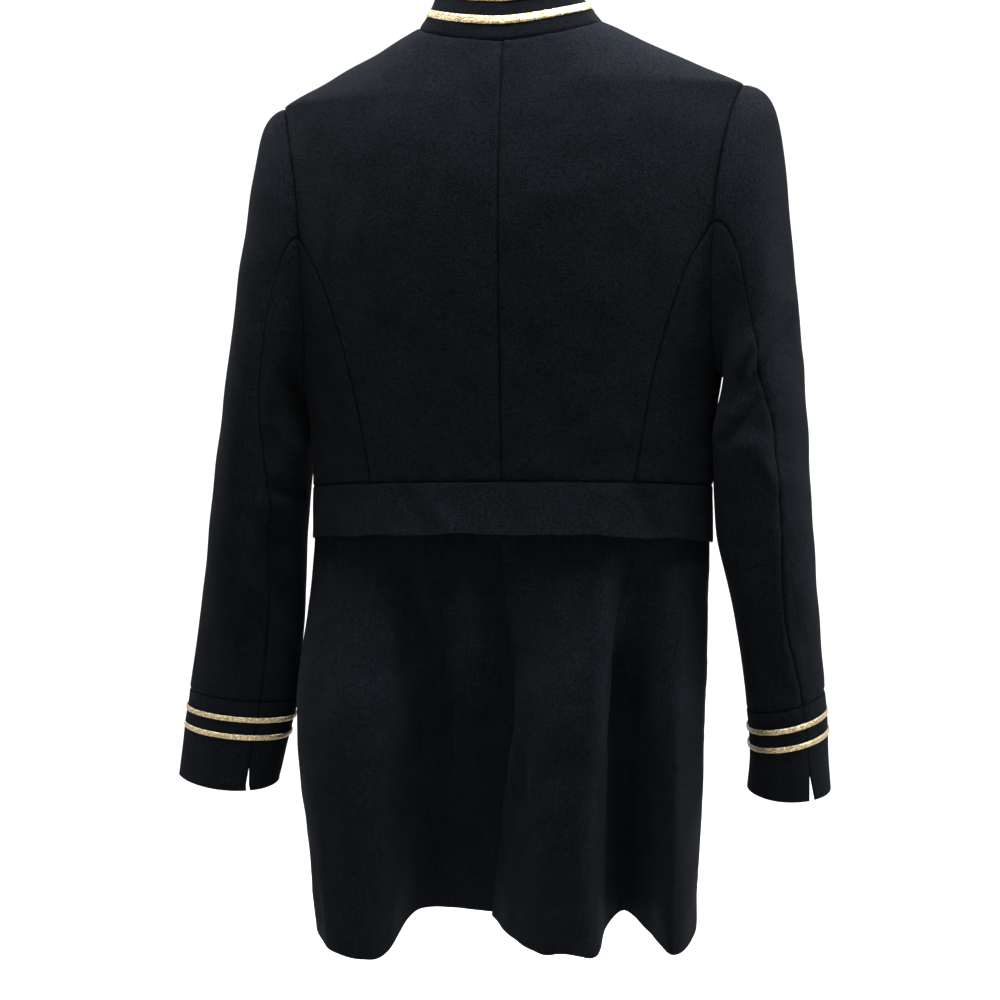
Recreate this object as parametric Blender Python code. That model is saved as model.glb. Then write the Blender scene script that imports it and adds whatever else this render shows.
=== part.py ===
"""Back-view frock coat on a hanger: every cut piece of cloth is a thin closed wall.

The sizes below are in millimetres and the meshes are made in metres. The origin is the inside top
of the hanger's hook. +X is the wearer's right, -Y the coat's back, +Z up. A drop is a distance
below the back of the neck seam.
"""
import math

import bmesh
import bpy
import numpy as np

METRE = 0.001
NECK_HEIGHT = -127.0        # the back of the neck seam, below the hook
WALL = 2.0                  # thickness of the lined wool
SEAM = 0.15                 # each piece stops this far from its seam line
SLEEVE_SEAM = 0.30          # the same, on the sleeves' sharper curves
ARMHOLE_GAP = 0.45          # from the body's edge to the sleeve's edge
LAY = 0.3                   # air under a piece that lies on another

# The shoulder line runs straight from the neck point to the shoulder tip.
NECK_HALF = 78.0
NECK_RISE = 22.0            # the neck point lies above the back of the neck seam
NECK_DIP = 84.0             # the front of the neck seam lies below the neck point
TIP_HALF = 200.0
TIP_DROP = 38.0
FULLER = 0.02               # the left half hangs this much fuller, the right half that much less

# The armhole is a tall loop that spreads from the side of the body to the back and the front.
ARM_BOTTOM = 280.0
ARM_SPREAD_BACK = 32.0      # degrees round the body
ARM_SPREAD_FRONT = 35.0
ARM_ROUND = 0.8             # how square the loop's ends are
JUNCTION = 87.0             # degrees round the armhole, where the side back and hind-arm seams start
FRONT_SEAM = 248.0          # degrees round the armhole and the sleeve, the hidden seam

WAIST_DROP = 364.0          # at the centre back
WAIST_FALL = 10.0           # the waist seam is lower at the sides, and twice that in front
FLAP_BACK = 43.0            # depth of the waist flap at the centre back
FLAP_SIDE = 47.0
FLAP_WALL = 1.7

COLLAR_HEIGHT = 42.0
COLLAR_WALL = 2.4
COLLAR_LEAN = 8.0           # degrees, towards the neck
SIDE_LEAN = 32.0            # how much more it leans over the shoulders
LEAN_REACH = 0.42           # how far along the neck seam that goes, where 1 is a quarter of it
COLLAR_BRAIDS = (16.0, 35.0)
COLLAR_BRAID_WIDTH = 6.5
CUFF_DROP = 563.0           # where the sleeve meets its cuff
CUFF_DEPTH = 80.0
CUFF_BRAIDS = (17.5, 33.5)
CUFF_BRAID_WIDTH = 4.5
CUFF_SLIT = 25.0
SLIT_HALF = {-1: 2.2, 1: 3.3}   # half the slit's width at the hem
CUFF_FALL = {-1: 6.5, 1: 2.0}   # how much lower the hem hangs at the back
BRAID_THICK = 1.1
HEAD_DROP = 330.0           # the sleeve is a free tube below this
FREE_STEP = 100.0           # and is counted in steps of this from there

BAR_HALF = 186.0            # the hanger's bar, under the shoulder seams
BAR_THICK = 20.0
BAR_DEEP = 17.0
BAR_END_DEEP = 25.0
BAR_ROUND = 0.75            # how far the bar's ends are rounded off
BAR_SQUARE = 16             # and how close to the end that starts
BAR_AIR = 0.8
WIRE = 3.6
HOOK_RADIUS = 21.8
HOOK_FOOT = 6.0             # straight above the bar
HOOK_BEND = ((0, 38), (1.5, 31), (7, 25))   # across and below the hook's centre
HOOK_START = -55            # degrees round that centre
HOOK_END = 215
HOOK_STEP = 15

# Pieces that meet at a seam share their corners along it: how many steps each stretch has.
NECK_STEPS = 8
SHOULDER_STEPS = 4
SEAM_STEPS = 7
ARM_TOP_STEPS = 6           # shoulder tip to the side back seam, and to the front seam
ARM_BACK_STEPS = 5          # side back seam to the armhole's bottom
ARM_FRONT_STEPS = 5         # front seam to the armhole's bottom


def table(names, rows):
    """Rows of numbers under named columns."""
    values = np.array(rows, dtype=float).T
    return dict(zip(names.split(), values))


# Sections of the body, one row for each height.
BODY = table("drop width back front square tilt", [
    (-22, 78, 50, 45, 2.0, 0.000),
    (0, 121, 56, 55, 2.0, 0.008),
    (38, 200, 67, 70, 2.1, 0.022),
    (90, 204, 77, 82, 2.3, 0.023),
    (140, 203, 81, 88, 2.4, 0.022),
    (200, 197, 79, 90, 2.5, 0.020),
    (260, 187, 73, 88, 2.5, 0.019),
    (320, 180, 67, 82, 2.5, 0.018),
    (364, 178, 64, 78, 2.45, 0.018),
    (400, 178, 64, 78, 2.45, 0.018),
])
# The curved seam between back and side back: how far it lies from the centre.
SIDE_BACK = table("drop half", [(150, 179), (186, 157), (235, 140), (285, 127), (364, 114)])
# Rings of each sleeve, one row for each height: centre, half sizes, turn and the hind-arm seam.
SLEEVE_LEFT = table("drop centre_x centre_y half_x half_y turn rise seam", [
    (330, 226.5, 0, 40.5, 61, 0, 2, 113),
    (411, 236, 2, 42.5, 53, 6, 3, 134),
    (485, 244.5, 4, 49, 44, 12, 3, 138),
    (563, 255.5, 7, 56, 33, 14, 3, 128),
    (607, 265, 9, 54, 32, 14, 2, 129),
    (644, 273, 10, 51, 33, 12, 0, 134),
])
SLEEVE_RIGHT = table("drop centre_x centre_y half_x half_y turn rise seam", [
    (330, 214.7, 0, 37.9, 61, -12, 3, 55),
    (411, 219.5, 2, 39.5, 56, -7, 5, 62),
    (485, 230.5, 5, 35, 53, 0, 7, 79),
    (563, 239.5, 8, 33.5, 47, 0, 8, 65),
    (607, 243, 10, 34, 45, 0, 6, 62),
    (644, 244, 12, 36.5, 43, 0, 0, 57),
])
SLEEVE_TILT = 0.028
SEAM_BEND = {-1: 3.0, 1: 1.3}           # how late each hind-arm seam leaves the armhole's line
HEAD_PUSH = (42.0, 14.0, 16.0)          # how strongly it leaves the armhole: out, back and down
SHOULDER_PUSH = {-1: 38.0, 1: 56.0}     # how much more its top goes out
SHOULDER_FALL = 30.0                    # and down
HEAD_ARRIVE = 1.05                      # how strongly it arrives at the free tube, by its length
HEAD_SHORTEST = 20.0
HEAD_FULL = {-1: 7.5, 1: 10.0}          # how far the sleeve's head stands out, just below the seam
HEAD_PEAK = 0.067                       # the greatest value of t (1 - t)^5, which shapes that
# Main folds of each sleeve: a trough (or a ridge, if raised) along the arm.
FOLD_START = 0.25           # the sleeve's folds fade in over this much of its head
FOLD_END = 30.0             # and out over this length above the cuff
SLEEVE_FOLDS = {
    -1: table("top bottom at_top at_bottom spread push", [
        (120, 330, 35, 62, 20, 3.0),
        (235, 380, 150, 112, 22, -7.0),
        (370, 470, 150, 128, 20, -5.0),
        (440, 560, 140, 110, 22, -6.0),
        (250, 520, 60, 78, 26, 3.5),
    ]),
    1: table("top bottom at_top at_bottom spread push", [
        (120, 330, 35, 60, 20, 3.0),
        (205, 330, 74, 138, 27, -6.0),
        (320, 520, 38, 58, 22, 3.5),
        (360, 470, 120, 95, 20, -4.0),
        (450, 560, 100, 128, 22, -4.5),
    ]),
}
# Lines of the skirt from the waist down: degrees round the waist, then places half way and at the hem.
SKIRT_COLUMNS = "waist mid_x mid_y hem_x hem_y hem_drop"
SKIRT_BACK_LEFT = table(SKIRT_COLUMNS, [
    (-90, -191, 5, -174, 8, 754),
    (-78, -190, -38, -172, -40, 756),
    (-64, -170, -78, -157, -86, 760),
    (-50, -130, -97, -134, -112, 762),
    (-37, -94, -90, -108, -113, 767),
    (-29, -78, -64, -95, -90, 768),
    (-23, -65, -50, -82, -33, 754),
    (-15, -44, -58, -52, -22, 753),
    (-8, -22, -58, -30, -24, 754),
    (0, 8, -60, -10, -29, 754),
])
SKIRT_BACK_RIGHT = table(SKIRT_COLUMNS, [
    (0, 8, -60, -14, -34, 754),
    (9, 27, -83, 10, -74, 755),
    (18, 47, -97, 36, -104, 756),
    (28, 69, -101, 62, -113, 753),
    (36, 90, -92, 86, -104, 757),
    (42, 97, -65, 91, -60, 750),
    (49, 111, -51, 104, -33, 744),
    (57, 132, -62, 127, -55, 752),
    (67, 152, -72, 148, -93, 756),
    (79, 169, -38, 164, -60, 758),
    (90, 171, 5, 165, 8, 754),
])
SKIRT_FRONT = table(SKIRT_COLUMNS, [
    (90, 175, 5, 172, 8, 755),
    (104, 167, 48, 164, 55, 755),
    (120, 142, 82, 143, 102, 756),
    (135, 116, 74, 118, 72, 756),
    (150, 82, 92, 86, 114, 757),
    (165, 42, 90, 44, 104, 758),
    (180, 0, 88, 0, 96, 760),
])
VENT_TOP = 588.0            # the centre back seam is open below this
UNDERLAP = 30.0             # how far the left skirt goes on under the right one
SEAM_LAP = 3.0              # the same above the vent, where the two are sewn
LAP_BACK = 2.8              # how far behind the right skirt it lies
SKIRT_SHARES = (0, 0.1, 0.2, 0.32, 0.44, 0.56, 0.6, 0.72, 0.86, 1)   # rows from waist to hem
SKIRT_INSET = 2.3           # the skirt's top lies inside the flap's


def smooth(rows, column, at):
    """A column's value at a drop, on a curve that passes through every row without overshoot."""
    x = rows["drop"]
    y = rows[column]
    at = np.clip(np.asarray(at, dtype=float), x[0], x[-1])
    step = np.diff(x)
    rate = np.diff(y) / step
    slope = np.concatenate([rate[:1], np.zeros(len(x) - 2), rate[-1:]])
    for i in range(1, len(x) - 1):
        if rate[i - 1] * rate[i] > 0:
            slope[i] = 2 * rate[i - 1] * rate[i] / (rate[i - 1] + rate[i])
    i = np.clip(np.searchsorted(x, at, side="right") - 1, 0, len(x) - 2)
    t = (at - x[i]) / step[i]
    return (y[i] + (y[i + 1] - y[i]) * t * t * (3 - 2 * t)
            + step[i] * (slope[i] * t * (1 - t) ** 2 - slope[i + 1] * t * t * (1 - t)))


def power(value, exponent):
    """A signed power."""
    return np.sign(value) * np.abs(value) ** exponent


def half_width(drop):
    """Half the body's width: the shoulder line first, then the table."""
    ridge = NECK_HALF + (drop + NECK_RISE) * (TIP_HALF - NECK_HALF) / (TIP_DROP + NECK_RISE)
    return np.where(drop < TIP_DROP, ridge, smooth(BODY, "width", np.maximum(drop, TIP_DROP)))


def body_point(angle, drop):
    """A point of the coat's body: 0 degrees is the centre back, 90 the right side, 180 the front."""
    turn = np.radians(angle)
    square = 2 / smooth(BODY, "square", drop)
    x = half_width(drop) * power(np.sin(turn), square)
    x = x * np.where(x < 0, 1 + FULLER, 1 - FULLER)
    back = -smooth(BODY, "back", drop) * power(np.cos(turn), square)
    front = -smooth(BODY, "front", drop) * power(np.cos(turn), square)
    y = np.where(np.cos(turn) > 0, back, front)
    z = NECK_HEIGHT - drop + smooth(BODY, "tilt", drop) * x
    return np.stack([x, y, z], axis=-1)


def body_angle(x, drop):
    """The angle of the point of the back that lies this far from the centre."""
    share = np.clip(x / half_width(drop), 0, 1)
    return np.degrees(np.arcsin(share ** (smooth(BODY, "square", drop) / 2)))


def unit(vector):
    """A vector of length one."""
    return vector / np.maximum(np.linalg.norm(vector, axis=-1, keepdims=True), 1e-9)


def normal(surface, across, down, step_across, step_down, low=-1e9):
    """The outward direction of a surface at each of its points."""
    along = surface(across + step_across, down) - surface(across - step_across, down)
    before = np.maximum(down - step_down, low)
    fall = surface(across, down + step_down) - surface(across, before)
    return unit(np.cross(fall, along))


def neck_seam(k):
    """Places on the neck seam: 0 is the centre back, 1 the right neck point, 2 the centre front."""
    t = np.radians(90 * (1 - (1 - np.clip(k, 0, 1)) ** 1.3))
    back = -NECK_RISE * (1 - np.cos(t)) ** 0.8
    back_angle = body_angle(NECK_HALF * np.sin(t), back)
    t = np.radians(90 * np.clip(k - 1, 0, 1) ** 1.6)
    front = -NECK_RISE + NECK_DIP * np.sin(t) ** 0.91
    front_angle = 180 - body_angle(NECK_HALF * np.cos(t), front)
    return np.stack([np.where(k <= 1, back_angle, front_angle), np.where(k <= 1, back, front)], axis=-1)


def shoulder(count):
    """The shoulder seam, from the neck point to the tip."""
    drop = np.linspace(-NECK_RISE, TIP_DROP, count + 1)
    return np.stack([np.full_like(drop, 90.0), drop], axis=-1)


def arm_steps(first, last, count):
    """Degrees round the armhole, closer together near its bottom."""
    share = np.linspace(0, 1, count + 1)
    if last == 180:
        return last + (first - last) * share[::-1] ** 1.6
    if first == 180:
        return first + (last - first) * share ** 1.6
    return first + (last - first) * share


def armhole(phi):
    """The armhole: 0 degrees is the shoulder tip, 90 the back, 180 the bottom, 270 the front."""
    turn = np.radians(phi)
    drop = (TIP_DROP + ARM_BOTTOM) / 2 - (ARM_BOTTOM - TIP_DROP) / 2 * np.cos(turn)
    spread = np.where(np.sin(turn) > 0, ARM_SPREAD_BACK, ARM_SPREAD_FRONT)
    return np.stack([90 - spread * power(np.sin(turn), ARM_ROUND), drop], axis=-1)


def waist_drop(angle):
    """The waist seam's drop round the body."""
    return WAIST_DROP + WAIST_FALL * (1 - np.cos(np.radians(angle)))


def waist(first, last, count):
    """A stretch of the waist seam."""
    angle = np.linspace(first, last, count + 1)
    return np.stack([angle, waist_drop(angle)], axis=-1)


def line(start, end, count):
    """Evenly spaced places from one to another."""
    return np.linspace(start, end, count + 1)


def side_back_seam(count):
    """The side back seam, from the armhole to the waist."""
    start = armhole(JUNCTION)
    last = body_angle(smooth(SIDE_BACK, "half", WAIST_DROP), WAIST_DROP)
    drop = np.linspace(start[1], waist_drop(last), count + 1)
    angle = body_angle(smooth(SIDE_BACK, "half", drop), drop)
    angle[0] = start[0]
    return np.stack([angle, drop], axis=-1)


def girth(start, places):
    """How far each place lies round the body from a starting angle, at its own height."""
    share = np.linspace(0, 1, 61)
    angle = start + (places[..., 0, None] - start) * share
    points = body_point(angle, np.broadcast_to(places[..., 1, None], angle.shape))
    return np.sum(np.linalg.norm(np.diff(points, axis=-2), axis=-1), axis=-1)


def patch(start, end, top, bottom, left, right):
    """A net of places between four edges, spread evenly round the body as in a paper pattern."""
    edges = (top, bottom, left, right)
    top, bottom, left, right = (np.stack([girth(start, edge), edge[:, 1]], axis=-1) for edge in edges)
    s = np.linspace(0, 1, len(top))[None, :, None]
    t = ((right[:, 1] - right[0, 1]) / (right[-1, 1] - right[0, 1]))[:, None, None]
    left_bend = left[:, None] - (1 - t) * left[0] - t * left[-1]
    right_bend = right[:, None] - (1 - t) * right[0] - t * right[-1]
    net = (1 - t) * top + t * bottom + (1 - s) * left_bend + s ** 3 * right_bend
    angles = np.linspace(start, end, 181)
    for row in net:
        for place in row:
            ruler = girth(start, np.stack([angles, np.full_like(angles, place[1])], axis=-1))
            place[0] = np.interp(place[0], ruler, angles)
    net[0], net[-1], net[:, 0], net[:, -1] = edges
    return net


def fall_share(edge):
    """How far down each place of an edge lies, from 0 to 1."""
    return (edge[:, 1:] - edge[0, 1]) / (edge[-1, 1] - edge[0, 1])


def inwards(edge, inside):
    """Across an edge, square to it, towards the points just inside."""
    along = unit(np.gradient(edge, axis=0))
    across = inside - edge
    return unit(across - np.sum(across * along, axis=-1, keepdims=True) * along)


def trim(outer, inner, edges, gap=SEAM):
    """Draws the named edges of a wall back from their seam lines."""
    shift = np.zeros_like(outer)
    if "top" in edges:
        shift[0] += gap * inwards(outer[0], outer[1])
    if "bottom" in edges:
        shift[-1] += gap * inwards(outer[-1], outer[-2])
    if "left" in edges:
        shift[:, 0] += gap * inwards(outer[:, 0], outer[:, 1])
    if "right" in edges:
        shift[:, -1] += gap * inwards(outer[:, -1], outer[:, -2])
    return outer + shift, inner + shift


def finish(name, color, metallic, roughness):
    """A plain material for one piece."""
    material = bpy.data.materials.new(name)
    material.use_nodes = True
    shader = material.node_tree.nodes["Principled BSDF"]
    shader.inputs["Base Color"].default_value = (*color, 1.0)
    shader.inputs["Metallic"].default_value = metallic
    shader.inputs["Roughness"].default_value = roughness
    return material


WOOL = ((0.010, 0.011, 0.014), 0.0, 0.9)
GOLD = ((0.42, 0.33, 0.18), 0.8, 0.5)
WOOD = ((0.45, 0.30, 0.17), 0.0, 0.5)
STEEL = ((0.60, 0.60, 0.60), 1.0, 0.3)


def add_object(name, bm, look):
    """Puts a closed mesh in the scene, with its faces outwards and its own material."""
    bmesh.ops.recalc_face_normals(bm, faces=bm.faces)
    mesh = bpy.data.meshes.new(name)
    bm.to_mesh(mesh)
    bm.free()
    mesh.shade_smooth()
    mesh.set_sharp_from_angle(angle=math.radians(50))
    mesh.materials.append(finish(name, *look))
    item = bpy.data.objects.new(name, mesh)
    coat.objects.link(item)
    return item


def add_wall(name, outer, inner, look=WOOL):
    """A closed wall between an outer and an inner net of points."""
    rows, columns = outer.shape[:2]
    bm = bmesh.new()
    nets = []
    for net in (outer, inner):
        nets.append([[bm.verts.new(p * METRE) for p in row] for row in net])
    for a, net in enumerate(nets):
        for i in range(rows - 1):
            for j in range(columns - 1):
                loop = [net[i][j], net[i + 1][j], net[i + 1][j + 1], net[i][j + 1]]
                bm.faces.new(loop if a == 0 else loop[:1] + loop[:0:-1])
    rim = [(0, j) for j in range(columns - 1)] + [(i, columns - 1) for i in range(rows - 1)]
    rim += [(rows - 1, j) for j in range(columns - 1, 0, -1)] + [(i, 0) for i in range(rows - 1, 0, -1)]
    for k, (i, j) in enumerate(rim):
        p, q = rim[(k + 1) % len(rim)]
        bm.faces.new([nets[0][i][j], nets[0][p][q], nets[1][p][q], nets[1][i][j]])
    return add_object(name, bm, look)


def body_net(places, side):
    """Outer and inner points of a body panel."""
    angle = side * places[..., 0]
    drop = places[..., 1]
    outer = body_point(angle, drop)
    inner = outer - WALL * normal(body_point, angle, drop, 0.5, 0.5)
    return outer, inner


def make_back(side, name):
    """The back, from the centre seam to the armhole and the side back seam."""
    top = np.concatenate([neck_seam(line(0, 1, NECK_STEPS)), shoulder(SHOULDER_STEPS)[1:]])
    right = np.concatenate([armhole(arm_steps(0, JUNCTION, ARM_TOP_STEPS)), side_back_seam(SEAM_STEPS)[1:]])
    left = np.array((0, WAIST_DROP)) * fall_share(right)
    places = patch(0, 100, top, waist(0, right[-1][0], len(top) - 1), left, right)
    outer, inner = body_net(places, side)
    add_wall(name, *trim(outer, inner, ("top", "bottom", "left", "right")))


def make_side_back(side, name):
    """The side back, from the side back seam to the side seam."""
    left = side_back_seam(SEAM_STEPS)
    top = armhole(arm_steps(JUNCTION, 180, ARM_BACK_STEPS))
    right = line(top[-1], (90, waist_drop(90)), SEAM_STEPS)
    places = patch(0, 100, top, waist(left[-1][0], 90, len(top) - 1), left, right)
    outer, inner = body_net(places, side)
    add_wall(name, *trim(outer, inner, ("top", "bottom", "left", "right")))


def make_front(side, name):
    """The front, from the side seam and the armhole to the centre front."""
    top = np.concatenate([neck_seam(line(2, 1, NECK_STEPS)), shoulder(SHOULDER_STEPS)[1:]])
    right = np.concatenate([armhole(arm_steps(360, FRONT_SEAM, ARM_TOP_STEPS)),
                            armhole(arm_steps(FRONT_SEAM, 180, ARM_FRONT_STEPS))[1:],
                            line((90, ARM_BOTTOM), (90, waist_drop(90)), SEAM_STEPS)[1:]])
    left = top[0] + np.array((0, waist_drop(180) - top[0][1])) * fall_share(right)
    places = patch(180, 80, top, waist(180, 90, len(top) - 1), left, right)
    outer, inner = body_net(places, side)
    add_wall(name, *trim(outer, inner, ("top", "bottom", "left", "right")))


def neck_point(k):
    """A point of the neck seam, with negative numbers on the left side."""
    place = neck_seam(np.abs(k))
    return body_point(np.where(k < 0, -1.0, 1.0) * place[..., 0], place[..., 1])


def collar_point(k, height):
    """A point of the collar's outside, and its outward direction."""
    foot = neck_point(k)
    along = neck_point(np.minimum(k + 0.04, 2)) - neck_point(np.maximum(k - 0.04, -2))
    along[..., 2] = 0
    away = unit(np.cross(along, np.array([0.0, 0.0, 1.0])))
    lean = COLLAR_LEAN + SIDE_LEAN * np.exp(-((np.abs(k) - 1) / LEAN_REACH) ** 2)
    lean = np.radians(lean)[..., None]
    up = np.array([0.0, 0.0, 1.0])
    rise = np.cos(lean) * up - np.sin(lean) * away
    return foot + np.asarray(height)[..., None] * rise, np.cos(lean) * away + np.sin(lean) * up


def collar_net(heights, near, far):
    """Points of a strip round the collar, with a row at each height, between two distances."""
    k, height = np.broadcast_arrays(np.linspace(-2, 2, 4 * NECK_STEPS + 1)[None, :],
                                    np.array(heights)[:, None])
    point, out = collar_point(k, height)
    return trim(point + far * out, point + near * out, ("left", "right"))


def make_collar():
    """The stand collar, with a row of corners along each edge of its two braids, and the braids."""
    half = COLLAR_BRAID_WIDTH / 2
    edges = [middle + away for middle in COLLAR_BRAIDS[::-1] for away in (half, -half)]
    add_wall("collar", *collar_net((COLLAR_HEIGHT, *edges, LAY), -COLLAR_WALL, 0.0))
    for number, middle in enumerate(COLLAR_BRAIDS, start=1):
        net = collar_net((middle + half, middle - half), LAY, LAY + BRAID_THICK)
        add_wall(f"collar_braid_{number}", *net, look=GOLD)


def ring_point(rows, side, phi, drop):
    """A point of the hanging part of a sleeve: 0 degrees is outside, 90 the back, 180 inside."""
    turn = np.radians(phi)
    across = smooth(rows, "half_x", drop) * np.cos(turn)
    deep = -smooth(rows, "half_y", drop) * np.sin(turn)
    spin = np.radians(smooth(rows, "turn", drop))
    x = smooth(rows, "centre_x", drop) + across * np.cos(spin) - deep * np.sin(spin)
    y = smooth(rows, "centre_y", drop) + across * np.sin(spin) + deep * np.cos(spin)
    z = NECK_HEIGHT - drop + smooth(rows, "rise", drop) * np.cos(turn) + SLEEVE_TILT * side * x
    return np.stack([side * x, y, z], axis=-1)


def sleeve_folds(side, phi, drop):
    """How far the cloth stands out of the plain sleeve."""
    folds = SLEEVE_FOLDS[side]
    push = np.zeros_like(drop, dtype=float)
    for top, bottom, start, end, spread, size in zip(*folds.values()):
        t = (drop - top) / (bottom - top)
        middle = start + (end - start) * np.clip(t, 0, 1)
        off = (phi - middle + 180) % 360 - 180
        fade = np.sin(np.pi * np.clip(t, 0, 1)) ** 1.5
        push += size * fade * np.exp(-(off / spread) ** 2)
    return push


def sleeve_point(side, phi, down):
    """A point of the sleeve: down runs from 0 at the armhole to 1 at the free tube, then on in
    steps of FREE_STEP."""
    rows = SLEEVE_RIGHT if side > 0 else SLEEVE_LEFT
    turn = np.radians(phi)
    place = armhole(phi % 360)
    start = body_point(side * place[..., 0], place[..., 1])
    high = (1 + np.cos(turn)) / 2
    away, back, fall = HEAD_PUSH
    leave = np.stack([side * (away + SHOULDER_PUSH[side] * high), -back * np.sin(turn),
                      -(fall + SHOULDER_FALL * high)], axis=-1)
    drop = HEAD_DROP + FREE_STEP * np.maximum(down - 1, 0)
    end = ring_point(rows, side, phi, drop)
    length = np.maximum(HEAD_DROP - place[..., 1], HEAD_SHORTEST)[..., None] * HEAD_ARRIVE
    arrive = ring_point(rows, side, phi, HEAD_DROP + 1.0) - ring_point(rows, side, phi, HEAD_DROP)
    t = np.clip(down, 0, 1)[..., None]
    curve = (start * (2 * t ** 3 - 3 * t ** 2 + 1) + leave * (t ** 3 - 2 * t ** 2 + t)
             + ring_point(rows, side, phi, np.full_like(drop, HEAD_DROP)) * (3 * t ** 2 - 2 * t ** 3)
             + arrive * length * (t ** 3 - t ** 2))
    point = np.where(t < 1, curve, end)
    level = np.where(down < 1, place[..., 1] + (HEAD_DROP - place[..., 1]) * np.clip(down, 0, 1), drop)
    out = np.stack([side * np.cos(turn), -np.sin(turn), np.zeros_like(turn)], axis=-1)
    fade = np.clip(down / FOLD_START, 0, 1) * np.clip((CUFF_DROP - drop) / FOLD_END, 0, 1)
    head = HEAD_FULL[side] * high ** 2 * t[..., 0] * (1 - t[..., 0]) ** 5 / HEAD_PEAK
    return point + out * (sleeve_folds(side, phi, level) * fade + head)[..., None]


def sleeve_net(side, phi, down, near, far):
    """Points of a wall of the sleeve, between two distances from its surface."""
    point = sleeve_point(side, phi, down)
    def surface(a, b):
        return sleeve_point(side, a, b)
    out = normal(surface, phi, down, 0.5, 0.004, low=0.0) * -side
    return point + far * out, point + near * out


def seam_angle(side, down):
    """Where the hind-arm seam lies round the sleeve."""
    rows = SLEEVE_RIGHT if side > 0 else SLEEVE_LEFT
    drop = HEAD_DROP + FREE_STEP * np.maximum(down - 1, 0)
    return JUNCTION + (smooth(rows, "seam", drop) - JUNCTION) * np.clip(down, 0, 1) ** SEAM_BEND[side]


def meeting_direction(side, phi, out):
    """The sleeve's outward direction at the armhole, turned towards the body's where they agree."""
    place = armhole(phi % 360)
    body_out = normal(body_point, side * place[..., 0], place[..., 1], 0.5, 0.5)
    agree = np.clip(np.sum(out * body_out, axis=-1, keepdims=True), 0, 1)
    return unit(out + 2 * agree * body_out)


CUFF_DOWN = 1 + (CUFF_DROP - HEAD_DROP) / FREE_STEP
SLEEVE_ROWS = (0, 0.08, 0.18, 0.32, 0.48, 0.64, 0.78, 0.9, 1.0, 1.17, 1.38, 1.7, 2.02, CUFF_DOWN)


def make_sleeve(side, word):
    """The top sleeve, outside the arm, and the under sleeve, next to the body."""
    down = np.array(SLEEVE_ROWS)[:, None]
    seam = seam_angle(side, down)
    top = np.concatenate([arm_steps(FRONT_SEAM - 360, 0, ARM_TOP_STEPS),
                          arm_steps(0, JUNCTION, ARM_TOP_STEPS)[1:]])
    under = np.concatenate([arm_steps(JUNCTION, 180, ARM_BACK_STEPS),
                            arm_steps(180, FRONT_SEAM, ARM_FRONT_STEPS)[1:]])
    for name, angles, first, last in (("top_sleeve", top, FRONT_SEAM - 360, seam),
                                      ("under_sleeve", under, seam, FRONT_SEAM)):
        share = (angles - angles[0]) / (angles[-1] - angles[0])
        phi = first + (last - first) * share
        rows = np.broadcast_to(down, phi.shape)
        outer, inner = sleeve_net(side, phi, rows, -WALL, 0.0)
        inner[0] = outer[0] - WALL * meeting_direction(side, phi[0], unit(outer[0] - inner[0]))
        outer, inner = trim(outer, inner, ("bottom",))
        outer, inner = trim(outer, inner, ("left", "right"), SLEEVE_SEAM)
        outer, inner = trim(outer, inner, ("top",), ARMHOLE_GAP - SEAM)
        add_wall(f"{name}_{word}", outer, inner)


def cuff_net(side, depths, near, far, slit=0.0, count=24):
    """Points of a strip round the cuff, with a row at each depth below its seam."""
    depth = np.array(depths)[:, None]
    seam = seam_angle(side, CUFF_DOWN + depth / FREE_STEP)
    phi = seam + np.linspace(0, 360, count + 1)[None, :]
    fall = CUFF_FALL[side] * (depth / CUFF_DEPTH) ** 2 * np.maximum(np.sin(np.radians(phi)), 0)
    outer, inner = sleeve_net(side, phi, CUFF_DOWN + (depth + fall) / FREE_STEP, near, far)
    gap = SEAM + slit * np.clip((depth[:, 0] - (CUFF_DEPTH - CUFF_SLIT)) / CUFF_SLIT, 0, 1)
    for edge, inside in ((0, 1), (-1, -2)):
        shift = gap[:, None] * unit(outer[:, inside] - outer[:, edge])
        outer[:, edge] += shift
        inner[:, edge] += shift
    return outer, inner


def make_cuff(side, word):
    """The cuff band, open for a short slit at the back, and its two braids."""
    depths = (0, *CUFF_BRAIDS, CUFF_DEPTH - CUFF_SLIT, CUFF_DEPTH)
    outer, inner = cuff_net(side, depths, -WALL, 0.0, slit=SLIT_HALF[side])
    add_wall(f"cuff_{word}", *trim(outer, inner, ("top",)))
    for number, middle in enumerate(CUFF_BRAIDS, start=1):
        low = middle - CUFF_BRAID_WIDTH / 2
        high = middle + CUFF_BRAID_WIDTH / 2
        net = cuff_net(side, (low, high), LAY, LAY + BRAID_THICK)
        add_wall(f"cuff_braid_{word}_{number}", *net, look=GOLD)


def spline(values, at):
    """A smooth curve through evenly numbered values."""
    last = len(values) - 1
    at = np.clip(at, 0, last)
    i = np.minimum(at.astype(int), last - 1)
    t = at - i
    padded = np.concatenate([[2 * values[0] - values[1]], values, [2 * values[-1] - values[-2]]])
    a, b, c, d = (padded[i + k] for k in range(4))
    return b + t * ((c - a) + t * ((2 * a - 5 * b + 4 * c - d) + t * (3 * (b - c) + d - a))) / 2


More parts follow.
